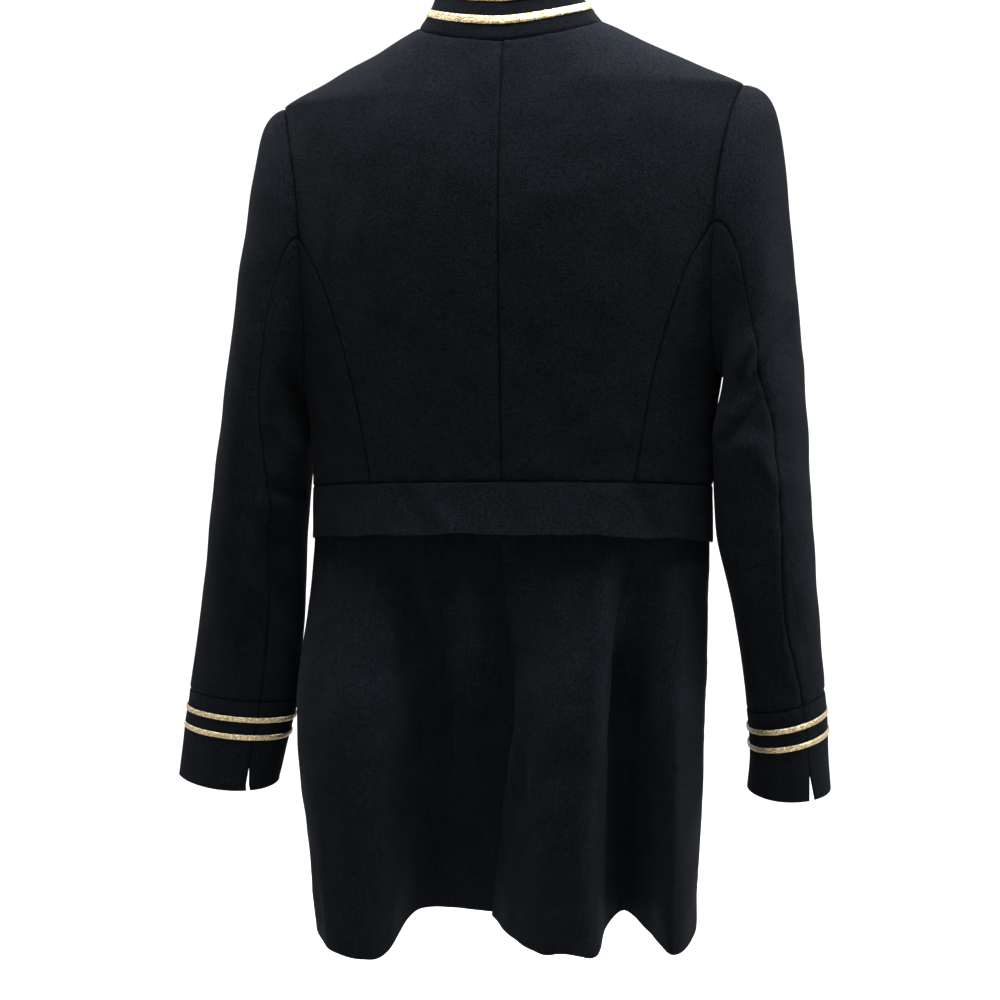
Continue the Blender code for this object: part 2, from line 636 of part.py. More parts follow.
def skirt_point(rows, at, share):
    """A point of a skirt panel: at counts the panel's lines, share runs from waist to hem."""
    angle = spline(rows["waist"], at)
    top_drop = waist_drop(angle)
    top = body_point(angle, top_drop)
    top = top - SKIRT_INSET * normal(body_point, angle, top_drop, 0.5, 0.5)
    mid = np.stack([spline(rows["mid_x"], at), spline(rows["mid_y"], at)], axis=-1)
    hem = np.stack([spline(rows["hem_x"], at), spline(rows["hem_y"], at)], axis=-1)
    rate = (hem - top[..., :2]) / 2
    upper = np.clip(share * 2, 0, 1)[..., None]
    lower = np.clip(share * 2 - 1, 0, 1)[..., None]
    start = top[..., :2] + (mid - top[..., :2]) * upper ** 3 * (4 - 3 * upper) - rate * upper ** 3 * (1 - upper)
    end = mid + (hem - mid) * lower ** 2 * (3 - 2 * lower) + rate * lower * (1 - lower) ** 2
    end = end - (hem - mid) * lower ** 2 * (1 - lower)
    plan = np.where(share[..., None] < 0.5, start, end)
    drop = top_drop + (spline(rows["hem_drop"], at) - top_drop) * share
    z = NECK_HEIGHT - drop + smooth(BODY, "tilt", drop) * plan[..., 0]
    return np.concatenate([plan, z[..., None]], axis=-1)


def skirt_net(rows, at, share, near=-WALL, far=0.0):
    """Points of a wall of the skirt, between two distances from its surface."""
    point = skirt_point(rows, at, share)
    def surface(a, b):
        return skirt_point(rows, a, b)
    fall = surface(at, np.minimum(share + 0.01, 1)) - surface(at, np.maximum(share - 0.01, 0))
    along = surface(at + 0.05, share) - surface(at - 0.05, share)
    out = unit(np.cross(fall, along))
    fall = unit(fall)
    sideways = unit(np.array((1.0, 0.0, 0.0)) - fall * fall[..., :1]) * np.sign(out[..., :1])
    on_side_seam = np.isclose(np.abs(spline(rows["waist"], at)), 90)[..., None]
    out = np.where(on_side_seam, sideways, out)
    return point + far * out, point + near * out


def grid(columns, shares):
    """Places along and down a panel."""
    return np.broadcast_arrays(np.asarray(columns)[None, :], np.asarray(shares)[:, None])


def vent_share():
    """How far down the skirt the vent starts."""
    return (VENT_TOP - WAIST_DROP) / (SKIRT_BACK_LEFT["hem_drop"][-1] - WAIST_DROP)


def front_rows(side, back_rows, edge):
    """The front skirt's lines for one side: they start on the back skirt's last line."""
    rows = dict(SKIRT_FRONT)
    rows["waist"] = rows["waist"] * side
    for column in ("mid_x", "hem_x"):
        rows[column] = rows[column] * back_rows[column][edge] / rows[column][0]
    for column in ("mid_x", "mid_y", "hem_x", "hem_y", "hem_drop"):
        rows[column] = np.concatenate([[back_rows[column][edge]], rows[column][1:]])
    return rows


def make_skirts():
    """Four skirt panels: the right back one laps over the left one at the vent."""
    at, share = grid(np.linspace(0, 10, 31), SKIRT_SHARES)
    outer, inner = skirt_net(SKIRT_BACK_RIGHT, at, share)
    add_wall("skirt_back_right", *trim(outer, inner, ("top", "left", "right")))

    at, share = grid(np.linspace(0, 9, 28), SKIRT_SHARES)
    outer, inner = trim(*skirt_net(SKIRT_BACK_LEFT, at, share), ("top", "left", "right"))
    behind = np.array((0, LAP_BACK, 0)) * np.clip(at - 8, 0, 1)[..., None]
    width = np.where(share[:, :1] > vent_share(), UNDERLAP, SEAM_LAP)[..., None]
    lap = np.array((1.0, 0.05, 0.0)) * width
    outer = np.concatenate([outer + behind, outer[:, -1:] + behind[:, -1:] + lap], axis=1)
    inner = np.concatenate([inner + behind, inner[:, -1:] + behind[:, -1:] + lap], axis=1)
    add_wall("skirt_back_left", outer, inner)

    for side, word, back_rows, edge in ((1, "right", SKIRT_BACK_RIGHT, -1), (-1, "left", SKIRT_BACK_LEFT, 0)):
        at, share = grid(np.linspace(0, 6, 19), SKIRT_SHARES)
        outer, inner = skirt_net(front_rows(side, back_rows, edge), at, share, near=-WALL * side)
        add_wall(f"skirt_front_{word}", *trim(outer, inner, ("top", "left", "right")))


FLAP_EDGE = table("drop width back front square", [(0, 178, 64, 78, 2.45), (1, 178.5, 78, 92, 2.4)])


def flap_point(angle, share):
    """A point of the waist flap: share runs from the waist seam to the free edge."""
    turn = np.radians(angle)
    square = 2 / smooth(FLAP_EDGE, "square", share)
    x = smooth(FLAP_EDGE, "width", share) * power(np.sin(turn), square)
    x = x * np.where(x < 0, 1 + FULLER, 1 - FULLER)
    back = -smooth(FLAP_EDGE, "back", share) * power(np.cos(turn), square)
    front = -smooth(FLAP_EDGE, "front", share) * power(np.cos(turn), square)
    y = np.where(np.cos(turn) > 0, back, front)
    depth = FLAP_BACK + (FLAP_SIDE - FLAP_BACK) * np.clip(1 - np.cos(turn), 0, 1)
    drop = waist_drop(angle) + depth * share
    z = NECK_HEIGHT - drop + smooth(BODY, "tilt", drop) * x
    return np.stack([x, y, z], axis=-1)


def make_flap():
    """The flap: one piece across the back and one on each front."""
    for name, first, last, count in (("waist_flap_back", -90, 90, 40),
                                     ("waist_flap_front_right", 90, 180, 20),
                                     ("waist_flap_front_left", -180, -90, 20)):
        angle, share = grid(np.linspace(first, last, count + 1), (0, 0.33, 0.67, 1))
        outer = flap_point(angle, share)
        inner = outer - FLAP_WALL * normal(flap_point, angle, share, 0.5, 0.01, low=0.0)
        add_wall(name, *trim(outer, inner, ("top", "left", "right")))


def bar_height(x):
    """The top of the hanger's bar: close under the shoulder seam, and arched inside the neck."""
    slope = (TIP_DROP + NECK_RISE) / (TIP_HALF - NECK_HALF)
    under = (WALL + BAR_AIR) * math.sqrt(1 + slope * slope)
    out = np.abs(x) / np.where(x < 0, 1 + FULLER, 1 - FULLER)
    arm = NECK_RISE - (out - NECK_HALF) * slope - under
    arch = NECK_RISE - under + slope * NECK_HALF / 2 * (1 - (out / NECK_HALF) ** 2)
    top = NECK_HEIGHT + np.where(out > NECK_HALF, arm, arch)
    drop = (np.maximum(out, NECK_HALF) - NECK_HALF) * slope - NECK_RISE
    return top + smooth(BODY, "tilt", drop) * x


def make_hanger():
    """A plain shoulder bar that the coat's shoulders rest on, and a wire hook."""
    x = np.linspace(-BAR_HALF, BAR_HALF, 25)
    share = np.abs(x) / BAR_HALF
    half_deep = (BAR_DEEP + (BAR_END_DEEP - BAR_DEEP) * share) / 2
    half_deep = half_deep * np.sqrt(1 - BAR_ROUND * share ** BAR_SQUARE)
    turn = np.radians(np.arange(0, 360, 30))
    bm = bmesh.new()
    rings = []
    for place, deep, top in zip(x, half_deep, bar_height(x)):
        across = deep * np.sin(turn)
        up = BAR_THICK / 2 * (np.cos(turn) - 1) + top
        rings.append([bm.verts.new((place * METRE, a * METRE, b * METRE)) for a, b in zip(across, up)])
    for ring, following in zip(rings, rings[1:]):
        for k in range(len(ring)):
            following_k = (k + 1) % len(ring)
            bm.faces.new([ring[k], ring[following_k], following[following_k], following[k]])
    bm.faces.new(rings[0])
    bm.faces.new(rings[-1])
    add_object("hanger_bar", bm, WOOD)

    foot = float(bar_height(np.array(0.0))) + LAY
    centre = WIRE / 2 - HOOK_RADIUS
    route = [(0, foot), (0, foot + HOOK_FOOT)]
    route += [(across, centre - down) for across, down in HOOK_BEND]
    for angle in range(HOOK_START, HOOK_END + 1, HOOK_STEP):
        a = math.radians(angle)
        route.append((HOOK_RADIUS * math.cos(a), centre + HOOK_RADIUS * math.sin(a)))
    curve = bpy.data.curves.new("hanger_hook", "CURVE")
    curve.dimensions = "3D"
    curve.bevel_depth = WIRE / 2 * METRE
    curve.bevel_resolution = 2
    curve.use_fill_caps = True
    wire = curve.splines.new("POLY")
    wire.points.add(len(route) - 1)
    for point, (across, up) in zip(wire.points, route):
        point.co = (across * METRE, 0.0, up * METRE, 1.0)
    curve.materials.append(finish("hanger_hook", *STEEL))
    coat.objects.link(bpy.data.objects.new("hanger_hook", curve))


for old in list(bpy.data.objects):
    bpy.data.objects.remove(old, do_unlink=True)
coat = bpy.data.collections.new("frock_coat")
bpy.context.scene.collection.children.link(coat)

for side, word in ((1, "right"), (-1, "left")):
    make_back(side, f"back_{word}")
    make_side_back(side, f"side_back_{word}")
    make_front(side, f"front_{word}")
    make_sleeve(side, word)
    make_cuff(side, word)
make_collar()
make_skirts()
make_flap()
make_hanger()
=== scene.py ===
"""The looks of a frock coat that hangs on a shoulder hanger, seen from its back.

Sizes on the coat are in millimetres and the meshes are made in metres. The origin is the inside top
of the hanger's hook, +X is the wearer's right, -Y the coat's back and +Z up. A drop is a distance
below the back of the neck seam.
"""
import math

import bpy
import numpy as np
from mathutils import Matrix, Vector


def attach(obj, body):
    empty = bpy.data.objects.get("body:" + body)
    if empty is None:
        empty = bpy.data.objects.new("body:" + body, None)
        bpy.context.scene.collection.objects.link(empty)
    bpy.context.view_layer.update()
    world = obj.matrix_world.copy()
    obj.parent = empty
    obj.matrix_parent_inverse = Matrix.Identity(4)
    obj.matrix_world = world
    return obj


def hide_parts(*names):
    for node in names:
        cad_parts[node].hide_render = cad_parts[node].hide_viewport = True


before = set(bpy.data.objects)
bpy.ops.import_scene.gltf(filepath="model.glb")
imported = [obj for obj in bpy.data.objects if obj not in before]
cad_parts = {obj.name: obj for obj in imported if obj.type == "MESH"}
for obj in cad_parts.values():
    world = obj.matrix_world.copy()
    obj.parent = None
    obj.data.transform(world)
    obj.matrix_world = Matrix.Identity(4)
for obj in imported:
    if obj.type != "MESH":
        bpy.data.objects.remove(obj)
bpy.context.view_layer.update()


# The cloth: a black-blue wool broadcloth, fulled and brushed so that short fibres hide the weave.
# The maker lines it with a thin dark satin, which shows only at the neck, the hem and the cuffs.


def linear(hex_colour):
    """An sRGB hex colour as linear red, green, blue and alpha."""
    channels = [int(hex_colour[i:i + 2], 16) / 255 for i in (1, 3, 5)]
    return (*[c / 12.92 if c <= 0.04045 else ((c + 0.055) / 1.055) ** 2.4 for c in channels], 1.0)


def add_node(tree, kind, inputs=None, **settings):
    """Adds a node to a tree with its settings, and its inputs' values or links by their name."""
    node = tree.nodes.new(kind)
    for name, value in settings.items():
        setattr(node, name, value)
    for name, value in (inputs or {}).items():
        if isinstance(value, bpy.types.NodeSocket):
            tree.links.new(value, node.inputs[name])
        else:
            node.inputs[name].default_value = value
    return node


def new_material(name, **inputs):
    """A material with one shader, and that shader's inputs by name."""
    material = bpy.data.materials.new(name)
    material.use_nodes = True
    shader = material.node_tree.nodes["Principled BSDF"]
    for key, value in inputs.items():
        shader.inputs[key.replace("_", " ")].default_value = value
    return material, material.node_tree, shader


# Brushed wool broadcloth: matt, with a bluish bloom where the light grazes its nap, and a soft
# mottle from the brush. Fibres of 0.02 mm are drawn as 1.3 mm flecks, which is as fine as shows.
FLECK = 0.0013
MOTTLE = 0.022
RIB = 0.0011                # the twill under the nap, twice its real 0.5 mm so that it shows
DIAGONAL = 0.628            # a diagonal wave's scale, times the spacing of its bands
LINT_PATCH = 0.040
LINT_REACH = 0.016          # how far a speck goes, as a share of its patch
LINT_LEVEL = 0.80           # the share of the patches that stay clean
SEAM_SHADE_KEEPS = 0.22               # how much of its colour the wool keeps in the painted shade along each seam
wool, tree, shader = new_material(
    "brushed_wool_broadcloth", Roughness=0.9, Specular_IOR_Level=0.01, Sheen_Weight=0.007,
    Sheen_Roughness=0.5, Sheen_Tint=linear("#b8c2d0"))
place = add_node(tree, "ShaderNodeTexCoord")
fleck = add_node(tree, "ShaderNodeTexNoise", {
    "Vector": place.outputs["Object"], "Scale": 1 / FLECK, "Detail": 3.0, "Roughness": 0.65})
mottle = add_node(tree, "ShaderNodeTexNoise", {
    "Vector": place.outputs["Object"], "Scale": 1 / MOTTLE, "Detail": 4.0, "Roughness": 0.6})
nap = add_node(tree, "ShaderNodeMapRange", {"Value": fleck.outputs["Fac"], "From Min": 0.33,
                                            "From Max": 0.70, "To Min": 0.0, "To Max": 1.0})
cloth = add_node(tree, "ShaderNodeMix", {0: nap.outputs["Result"], 6: linear("#010202"),
                                         7: linear("#0c0e11")}, data_type="RGBA")
patches = add_node(tree, "ShaderNodeMapRange", {"Value": mottle.outputs["Fac"], "From Min": 0.3,
                                                "From Max": 0.7, "To Min": 0.86, "To Max": 1.14})
brushed = add_node(tree, "ShaderNodeMix", {
    0: 1.0, 6: cloth.outputs[2], 7: patches.outputs["Result"]},
    data_type="RGBA", blend_type="MULTIPLY")
# Lint: a pale speck in about one 40 mm patch out of five.
lint_cell = add_node(tree, "ShaderNodeTexVoronoi", {
    "Vector": place.outputs["Object"], "Scale": 1 / LINT_PATCH})
near = add_node(tree, "ShaderNodeMath", {0: lint_cell.outputs["Distance"], 1: LINT_REACH},
                operation="LESS_THAN")
some = add_node(tree, "ShaderNodeSeparateColor", {"Color": lint_cell.outputs["Color"]})
few = add_node(tree, "ShaderNodeMath", {0: some.outputs["Red"], 1: LINT_LEVEL},
               operation="GREATER_THAN")
speck = add_node(tree, "ShaderNodeMath", {0: near.outputs["Value"], 1: few.outputs["Value"]},
                 operation="MULTIPLY")
linted = add_node(tree, "ShaderNodeMix", {0: speck.outputs["Value"], 6: brushed.outputs[2],
                                          7: linear("#3c3e40")}, data_type="RGBA")
# Painted shade: along each seam the colour is darkened into a dark line, which stands for the shade
# in the seam's groove.
seam_shade = add_node(tree, "ShaderNodeAttribute", attribute_name="seam_shade")
seam_shade_factor = add_node(tree, "ShaderNodeMapRange", {"Value": seam_shade.outputs["Fac"], "To Min": 1.0,
                                              "To Max": SEAM_SHADE_KEEPS})
seam_shaded = add_node(tree, "ShaderNodeMix", {0: 1.0, 6: linted.outputs[2], 7: seam_shade_factor.outputs["Result"]},
                  data_type="RGBA", blend_type="MULTIPLY")
tree.links.new(seam_shaded.outputs[2], shader.inputs["Base Color"])
cut = add_node(tree, "ShaderNodeUVMap", uv_map="cut")
twill = add_node(tree, "ShaderNodeTexWave", {"Vector": cut.outputs["UV"], "Scale": DIAGONAL / RIB,
                                             "Distortion": 1.4, "Detail": 2.0, "Detail Scale": 2.0},
                 bands_direction="DIAGONAL")
woven = add_node(tree, "ShaderNodeBump", {"Height": twill.outputs["Fac"], "Strength": 0.10,
                                          "Distance": 0.00015})
fuzz = add_node(tree, "ShaderNodeBump", {"Height": fleck.outputs["Fac"], "Strength": 0.45,
                                         "Distance": 0.0004, "Normal": woven.outputs["Normal"]})
tree.links.new(fuzz.outputs["Normal"], shader.inputs["Normal"])

# Viscose satin lining: smooth, with a soft gloss along its warp. Its fine streaks are lighter in
# colour, which is painted sheen, and slightly raised.
WARP = (1600.0, 90.0, 1.0)  # streaks to the metre, across and along the cut
lining, tree, shader = new_material("viscose_satin_lining", Roughness=0.42, Specular_IOR_Level=0.3,
                                    Sheen_Weight=0.03)
cut = add_node(tree, "ShaderNodeUVMap", uv_map="cut")
stretch = add_node(tree, "ShaderNodeMapping", {"Vector": cut.outputs["UV"], "Scale": WARP})
warp = add_node(tree, "ShaderNodeTexNoise", {"Vector": stretch.outputs["Vector"], "Scale": 1.0,
                                             "Detail": 2.0})
# Painted sheen: the lighter streaks in the colour along the warp.
painted_warp_sheen = add_node(tree, "ShaderNodeMix", {0: warp.outputs["Fac"], 6: linear("#08090b"),
                                          7: linear("#101215")}, data_type="RGBA")
tree.links.new(painted_warp_sheen.outputs[2], shader.inputs["Base Color"])
sateen = add_node(tree, "ShaderNodeBump", {"Height": warp.outputs["Fac"], "Strength": 0.2,
                                           "Distance": 0.0001})
tree.links.new(sateen.outputs["Normal"], shader.inputs["Normal"])


# The back: two panels of wool, seamed down the centre and eased over the shoulder blades, pressed
# open and lined. Each runs from the neck and shoulder seams down to the waist seam.
METRE = 0.001
NECK_HEIGHT = -127.0        # the back of the neck seam, below the hook
WALL = 2.0                  # wool, canvas and lining together
NECK_HALF = 78.0
NECK_RISE = 22.0            # the neck point lies above the back of the neck seam
NECK_DIP = 84.0             # the front of the neck seam lies below the neck point
TIP_HALF = 200.0            # the shoulder tip
TIP_DROP = 38.0
FULLER = 0.02               # the left half hangs this much fuller, the right half that much less
ARM_BOTTOM = 280.0
ARM_SPREAD_BACK = 32.0      # degrees round the body
ARM_SPREAD_FRONT = 35.0
ARM_ROUND = 0.8             # how square the armhole's ends are
JUNCTION = 87.0             # degrees round the armhole: the side back and hind-arm seams' start
FRONT_SEAM = 248.0          # degrees round the armhole: the seam at the front of the sleeve
WAIST_DROP = 364.0          # at the centre back
WAIST_FALL = 10.0           # the waist seam is lower at the sides, and twice that in front


def table(names, rows):
    """Rows of numbers under named columns."""
    values = np.array(rows, dtype=float).T
    return dict(zip(names.split(), values))


BODY = table("drop width back front square tilt", [
    (-22, 78, 50, 45, 2.0, 0.000),
    (0, 121, 56, 55, 2.0, 0.008),
    (38, 200, 67, 70, 2.1, 0.022),
    (90, 204, 77, 82, 2.3, 0.023),
    (140, 203, 81, 88, 2.4, 0.022),
    (200, 197, 79, 90, 2.5, 0.020),
    (260, 187, 73, 88, 2.5, 0.019),
    (320, 180, 67, 82, 2.5, 0.018),
    (364, 178, 64, 78, 2.45, 0.018),
    (400, 178, 64, 78, 2.45, 0.018),
])
# The curved seam between back and side back: how far it lies from the centre.
SIDE_BACK = table("drop half", [(150, 179), (186, 157), (235, 140), (285, 127), (364, 114)])
# Folds of the body: from one place to another, across and below the neck seam, how wide and how
# far out, so a trough is negative. face is -1 on the back, where they follow what shows, and 1 on
# the front, which doesn't show.
BODY_FOLDS = table("face x drop to_x to_drop width push", [
    (-1, -142, 96, -134, 262, 13, -1.5),
    (-1, -96, 120, -104, 330, 26, -0.9),
    (-1, 140, 110, 112, 268, 15, -1.2),
    (-1, 70, 60, 84, 250, 30, -0.8),
    (-1, 18, 200, 30, 350, 22, -0.7),
    (-1, -34, 230, -22, 356, 18, -0.7),
    (-1, -166, 252, -140, 345, 12, -1.7),
    (-1, -178, 300, -150, 356, 9, -1.4),
    (-1, 172, 258, 144, 346, 13, -1.9),
    (-1, 178, 310, 158, 358, 8, -1.4),
    (-1, 150, 300, 132, 352, 9, 1.0),
    (-1, -60, 10, -110, 52, 14, -0.8),
    (-1, 58, 6, 122, 40, 14, -0.7),
    (-1, 0, 12, 2, 60, 20, -0.7),
    (1, -120, 90, -92, 300, 18, -1.6),
    (1, 118, 96, 96, 280, 17, -1.5),
    (1, -60, 150, -36, 340, 22, -1.2),
    (1, 52, 170, 44, 350, 20, -1.2),
    (1, 160, 250, 120, 350, 12, -1.8),
    (1, -164, 256, -128, 344, 12, -1.7),
])


def smooth(rows, column, at):
    """A column's value at a drop, on a curve that passes through every row without overshoot."""
    x = rows["drop"]
    y = rows[column]
    at = np.clip(np.asarray(at, dtype=float), x[0], x[-1])
    step = np.diff(x)
    rate = np.diff(y) / step
    slope = np.concatenate([rate[:1], np.zeros(len(x) - 2), rate[-1:]])
    for i in range(1, len(x) - 1):
        if rate[i - 1] * rate[i] > 0:
            slope[i] = 2 * rate[i - 1] * rate[i] / (rate[i - 1] + rate[i])
    i = np.clip(np.searchsorted(x, at, side="right") - 1, 0, len(x) - 2)
    t = (at - x[i]) / step[i]
    return (y[i] + (y[i + 1] - y[i]) * t * t * (3 - 2 * t)
            + step[i] * (slope[i] * t * (1 - t) ** 2 - slope[i + 1] * t * t * (1 - t)))


def power(value, exponent):
    """A signed power."""
    return np.sign(value) * np.abs(value) ** exponent


def half_width(drop):
    """Half the body's width: the shoulder line first, then the table."""
    ridge = NECK_HALF + (drop + NECK_RISE) * (TIP_HALF - NECK_HALF) / (TIP_DROP + NECK_RISE)
    return np.where(drop < TIP_DROP, ridge, smooth(BODY, "width", np.maximum(drop, TIP_DROP)))


def body_point(angle, drop):
    """A point of the coat's body: 0 degrees is the centre back, 90 its right, 180 the front."""
    turn = np.radians(angle)
    square = 2 / smooth(BODY, "square", drop)
    x = half_width(drop) * power(np.sin(turn), square)
    x = x * np.where(x < 0, 1 + FULLER, 1 - FULLER)
    back = -smooth(BODY, "back", drop) * power(np.cos(turn), square)
    front = -smooth(BODY, "front", drop) * power(np.cos(turn), square)
    y = np.where(np.cos(turn) > 0, back, front)
    z = NECK_HEIGHT - drop + smooth(BODY, "tilt", drop) * x
    return np.stack([x, y, z], axis=-1)


def body_angle(x, drop):
    """The angle of the point of the back that lies this far from the centre."""
    share = np.clip(x / half_width(drop), 0, 1)
    return np.degrees(np.arcsin(share ** (smooth(BODY, "square", drop) / 2)))


def unit(vector):
    """A vector of length one."""
    return vector / np.maximum(np.linalg.norm(vector, axis=-1, keepdims=True), 1e-9)


def normal(surface, across, down, step_across=0.5, step_down=0.5, low=-np.inf):
    """The outward direction of a surface at each of its points, from points a small step away."""
    along = surface(across + step_across, down) - surface(across - step_across, down)
    before = np.maximum(down - step_down, low)
    fall = surface(across, down + step_down) - surface(across, before)
    return unit(np.cross(fall, along))


def neck_seam(k):
    """Places on the neck seam: 0 is the centre back, 1 the right neck point, 2 the centre front.
    The powers even out the steps along it and round its curve."""
    t = np.radians(90 * (1 - (1 - np.clip(k, 0, 1)) ** 1.3))
    back = -NECK_RISE * (1 - np.cos(t)) ** 0.8
    back_angle = body_angle(NECK_HALF * np.sin(t), back)
    t = np.radians(90 * np.clip(k - 1, 0, 1) ** 1.6)
    front = -NECK_RISE + NECK_DIP * np.sin(t) ** 0.91
    front_angle = 180 - body_angle(NECK_HALF * np.cos(t), front)
    angle = np.where(k <= 1, back_angle, front_angle)
    return np.stack([angle, np.where(k <= 1, back, front)], axis=-1)


def shoulder_seam(share):
    """Places on the shoulder seam, from the neck point to the tip."""
    drop = -NECK_RISE + (TIP_DROP + NECK_RISE) * share
    return np.stack([np.full_like(drop, 90.0), drop], axis=-1)


def armhole(phi):
    """The armhole: 0 degrees is the shoulder tip, 90 the back, 180 the bottom, 270 the front."""
    turn = np.radians(phi)
    drop = (TIP_DROP + ARM_BOTTOM) / 2 - (ARM_BOTTOM - TIP_DROP) / 2 * np.cos(turn)
    spread = np.where(np.sin(turn) > 0, ARM_SPREAD_BACK, ARM_SPREAD_FRONT)
    return np.stack([90 - spread * power(np.sin(turn), ARM_ROUND), drop], axis=-1)


def waist_drop(angle):
    """The waist seam's drop round the body."""
    return WAIST_DROP + WAIST_FALL * (1 - np.cos(np.radians(angle)))


def waist_seam(first, last, share):
    """Places on a stretch of the waist seam."""
    angle = first + (last - first) * share
    return np.stack([angle, waist_drop(angle)], axis=-1)


def side_back_seam(share):
    """Places on the side back seam, from the armhole to the waist."""
    start = armhole(JUNCTION)
    last = body_angle(smooth(SIDE_BACK, "half", WAIST_DROP), WAIST_DROP)
    drop = start[1] + (waist_drop(last) - start[1]) * share
    angle = body_angle(smooth(SIDE_BACK, "half", drop), drop)
    return np.stack([np.where(share <= 0, start[0], angle), drop], axis=-1)


def joined(first, second, at, share):
    """One edge made of two seams that meet at a share of its length."""
    early = first(np.clip(share / at, 0, 1))
    late = second(np.clip((share - at) / (1 - at), 0, 1))
    return np.where((share <= at)[:, None], early, late)


TURN_MARKS = (0, 0.5, 1.1, 1.9, 2.9)    # from an edge, where the cloth turns


def marks(length, step):
    """Shares along a length in millimetres: even steps, and closer ones near both ends."""
    near = np.array(TURN_MARKS)
    count = max(int((length - 2 * near[-1]) / step), 2)
    middle = np.linspace(near[-1], length - near[-1], count + 1)
    return np.concatenate([near[:-1], middle, length - near[-2::-1]]) / length


TAPE_PARTS = 240            # the tape's readings round the body
TAPE_STEP = 3.0             # and down it, to below the waist seam
TAPE_END = 406.0


def tape(first, last):
    """How far round the body each angle lies, at each drop of the tape."""
    angles = np.linspace(first, last, TAPE_PARTS + 1)
    drops = np.arange(-NECK_RISE, TAPE_END, TAPE_STEP)
    grid_drop, grid_angle = np.meshgrid(drops, angles, indexing="ij")
    steps = np.linalg.norm(np.diff(body_point(grid_angle, grid_drop), axis=1), axis=-1)
    return np.pad(np.cumsum(steps, axis=1), ((0, 0), (1, 0)))


def measure(ruler, share, drop):
    """The tape's reading at a share of its angles and at a drop."""
    row = np.clip((drop + NECK_RISE) / TAPE_STEP, 0, len(ruler) - 1.001)
    column = np.clip(share * TAPE_PARTS, 0, TAPE_PARTS - 0.001)
    i, j = row.astype(int), column.astype(int)
    u, v = row - i, column - j
    return ((1 - u) * ((1 - v) * ruler[i, j] + v * ruler[i, j + 1])
            + u * ((1 - v) * ruler[i + 1, j] + v * ruler[i + 1, j + 1]))


HALVINGS = 22               # of the search for the angle with a reading of the tape


def cut_panel(first, last, across, top, bottom, left, right):
    """A net of places between four seam lines, spread evenly round the body as in a pattern."""
    ruler = tape(first, last)
    edges = (top, bottom, left, right)
    laid = []
    for edge in edges:
        reading = measure(ruler, (edge[:, 0] - first) / (last - first), edge[:, 1])
        laid.append(np.stack([reading, edge[:, 1]], axis=-1))
    top, bottom, left, right = laid
    s = across[None, :, None]
    t = ((right[:, 1] - right[0, 1]) / (right[-1, 1] - right[0, 1]))[:, None, None]
    left_bend = left[:, None] - (1 - t) * left[0] - t * left[-1]
    right_bend = right[:, None] - (1 - t) * right[0] - t * right[-1]
    net = (1 - t) * top + t * bottom + (1 - s) * left_bend + s ** 3 * right_bend
    low = np.zeros(net.shape[:2])
    high = np.ones(net.shape[:2])
    for _ in range(HALVINGS):
        middle = (low + high) / 2
        short = measure(ruler, middle, net[..., 1]) < net[..., 0]
        low = np.where(short, middle, low)
        high = np.where(short, high, middle)
    net[..., 0] = first + (last - first) * low
    net[0], net[-1], net[:, 0], net[:, -1] = edges
    return net


WAVES = 14                  # how many waves each uneven value adds up
WAVE_SUM = 3.7              # and how high they usually reach together


def wander(points, size, seed):
    """A smooth uneven value round 0, with bumps of about this many millimetres."""
    dice = np.random.default_rng(seed)
    total = np.zeros(points.shape[:-1])
    for _ in range(WAVES):
        way = unit(dice.normal(size=3)) * 2 * np.pi / (size * dice.uniform(0.7, 2.2))
        total += np.sin(points @ way + dice.uniform(0, 2 * np.pi))
    return total / WAVE_SUM


FOLD_SWAY = 0.4             # how far a fold sways to its sides, as a share of its width
FOLD_SLACK = 1.3            # how much wider it is on its slack side
FOLD_STEEP = 0.8            # and on its steep side
FOLD_WELT = 0.35            # the cloth that it pushes up beside it, as a share of its depth
WELT_PLACE = 1.9            # how many widths away that lies
WELT_WIDTH = 1.1


def fold_push(points, out, rows):
    """How far the cloth stands out at each point: every row is a soft, uneven trough or ridge."""
    push = np.zeros(points.shape[:-1])
    x, drop = points[..., 0], NECK_HEIGHT - points[..., 2]
    for face, x0, drop0, x1, drop1, width, size in zip(*rows.values()):
        run = math.hypot(x1 - x0, drop1 - drop0)
        t = ((x - x0) * (x1 - x0) + (drop - drop0) * (drop1 - drop0)) / run ** 2
        off = ((x - x0) * (drop1 - drop0) - (drop - drop0) * (x1 - x0)) / run
        off = off - FOLD_SWAY * width * np.sin(3.1 * t + x0)
        uneven = 0.75 + 0.35 * np.sin(5.0 * t + drop0) ** 2
        off = off / (width * np.where(off > 0, FOLD_SLACK, FOLD_STEEP) * uneven)
        taper = np.sin(np.pi * np.clip(t, 0, 1)) ** 0.8
        faces = np.clip(out[..., 1] * face * 2.5, 0, 1)
        welt = FOLD_WELT * np.exp(-((off - WELT_PLACE) / WELT_WIDTH) ** 2)
        push += size * taper * faces * (np.exp(-off ** 2) - welt)
    return push


SEAM_ROLL = 1.05            # how far the cloth sinks into a pressed seam
SEAM_REACH = 1.7            # and how far from the seam that starts
SEAM_SHADE_REACH = 0.85              # the painted seam shade reaches this far from it
SEAM_HOLD = 0.15            # a sewn edge reaches this far into its neighbour's thickness
PUCKER = 0.22               # how uneven it is beside the stitching
PUCKER_SIZE = 11.0
PUCKER_REACH = 6.0
SWELL_SIZE = 48.0           # the size of the slow bumps in hanging cloth
SWELL_START = 12.0          # a seam holds them flat this far


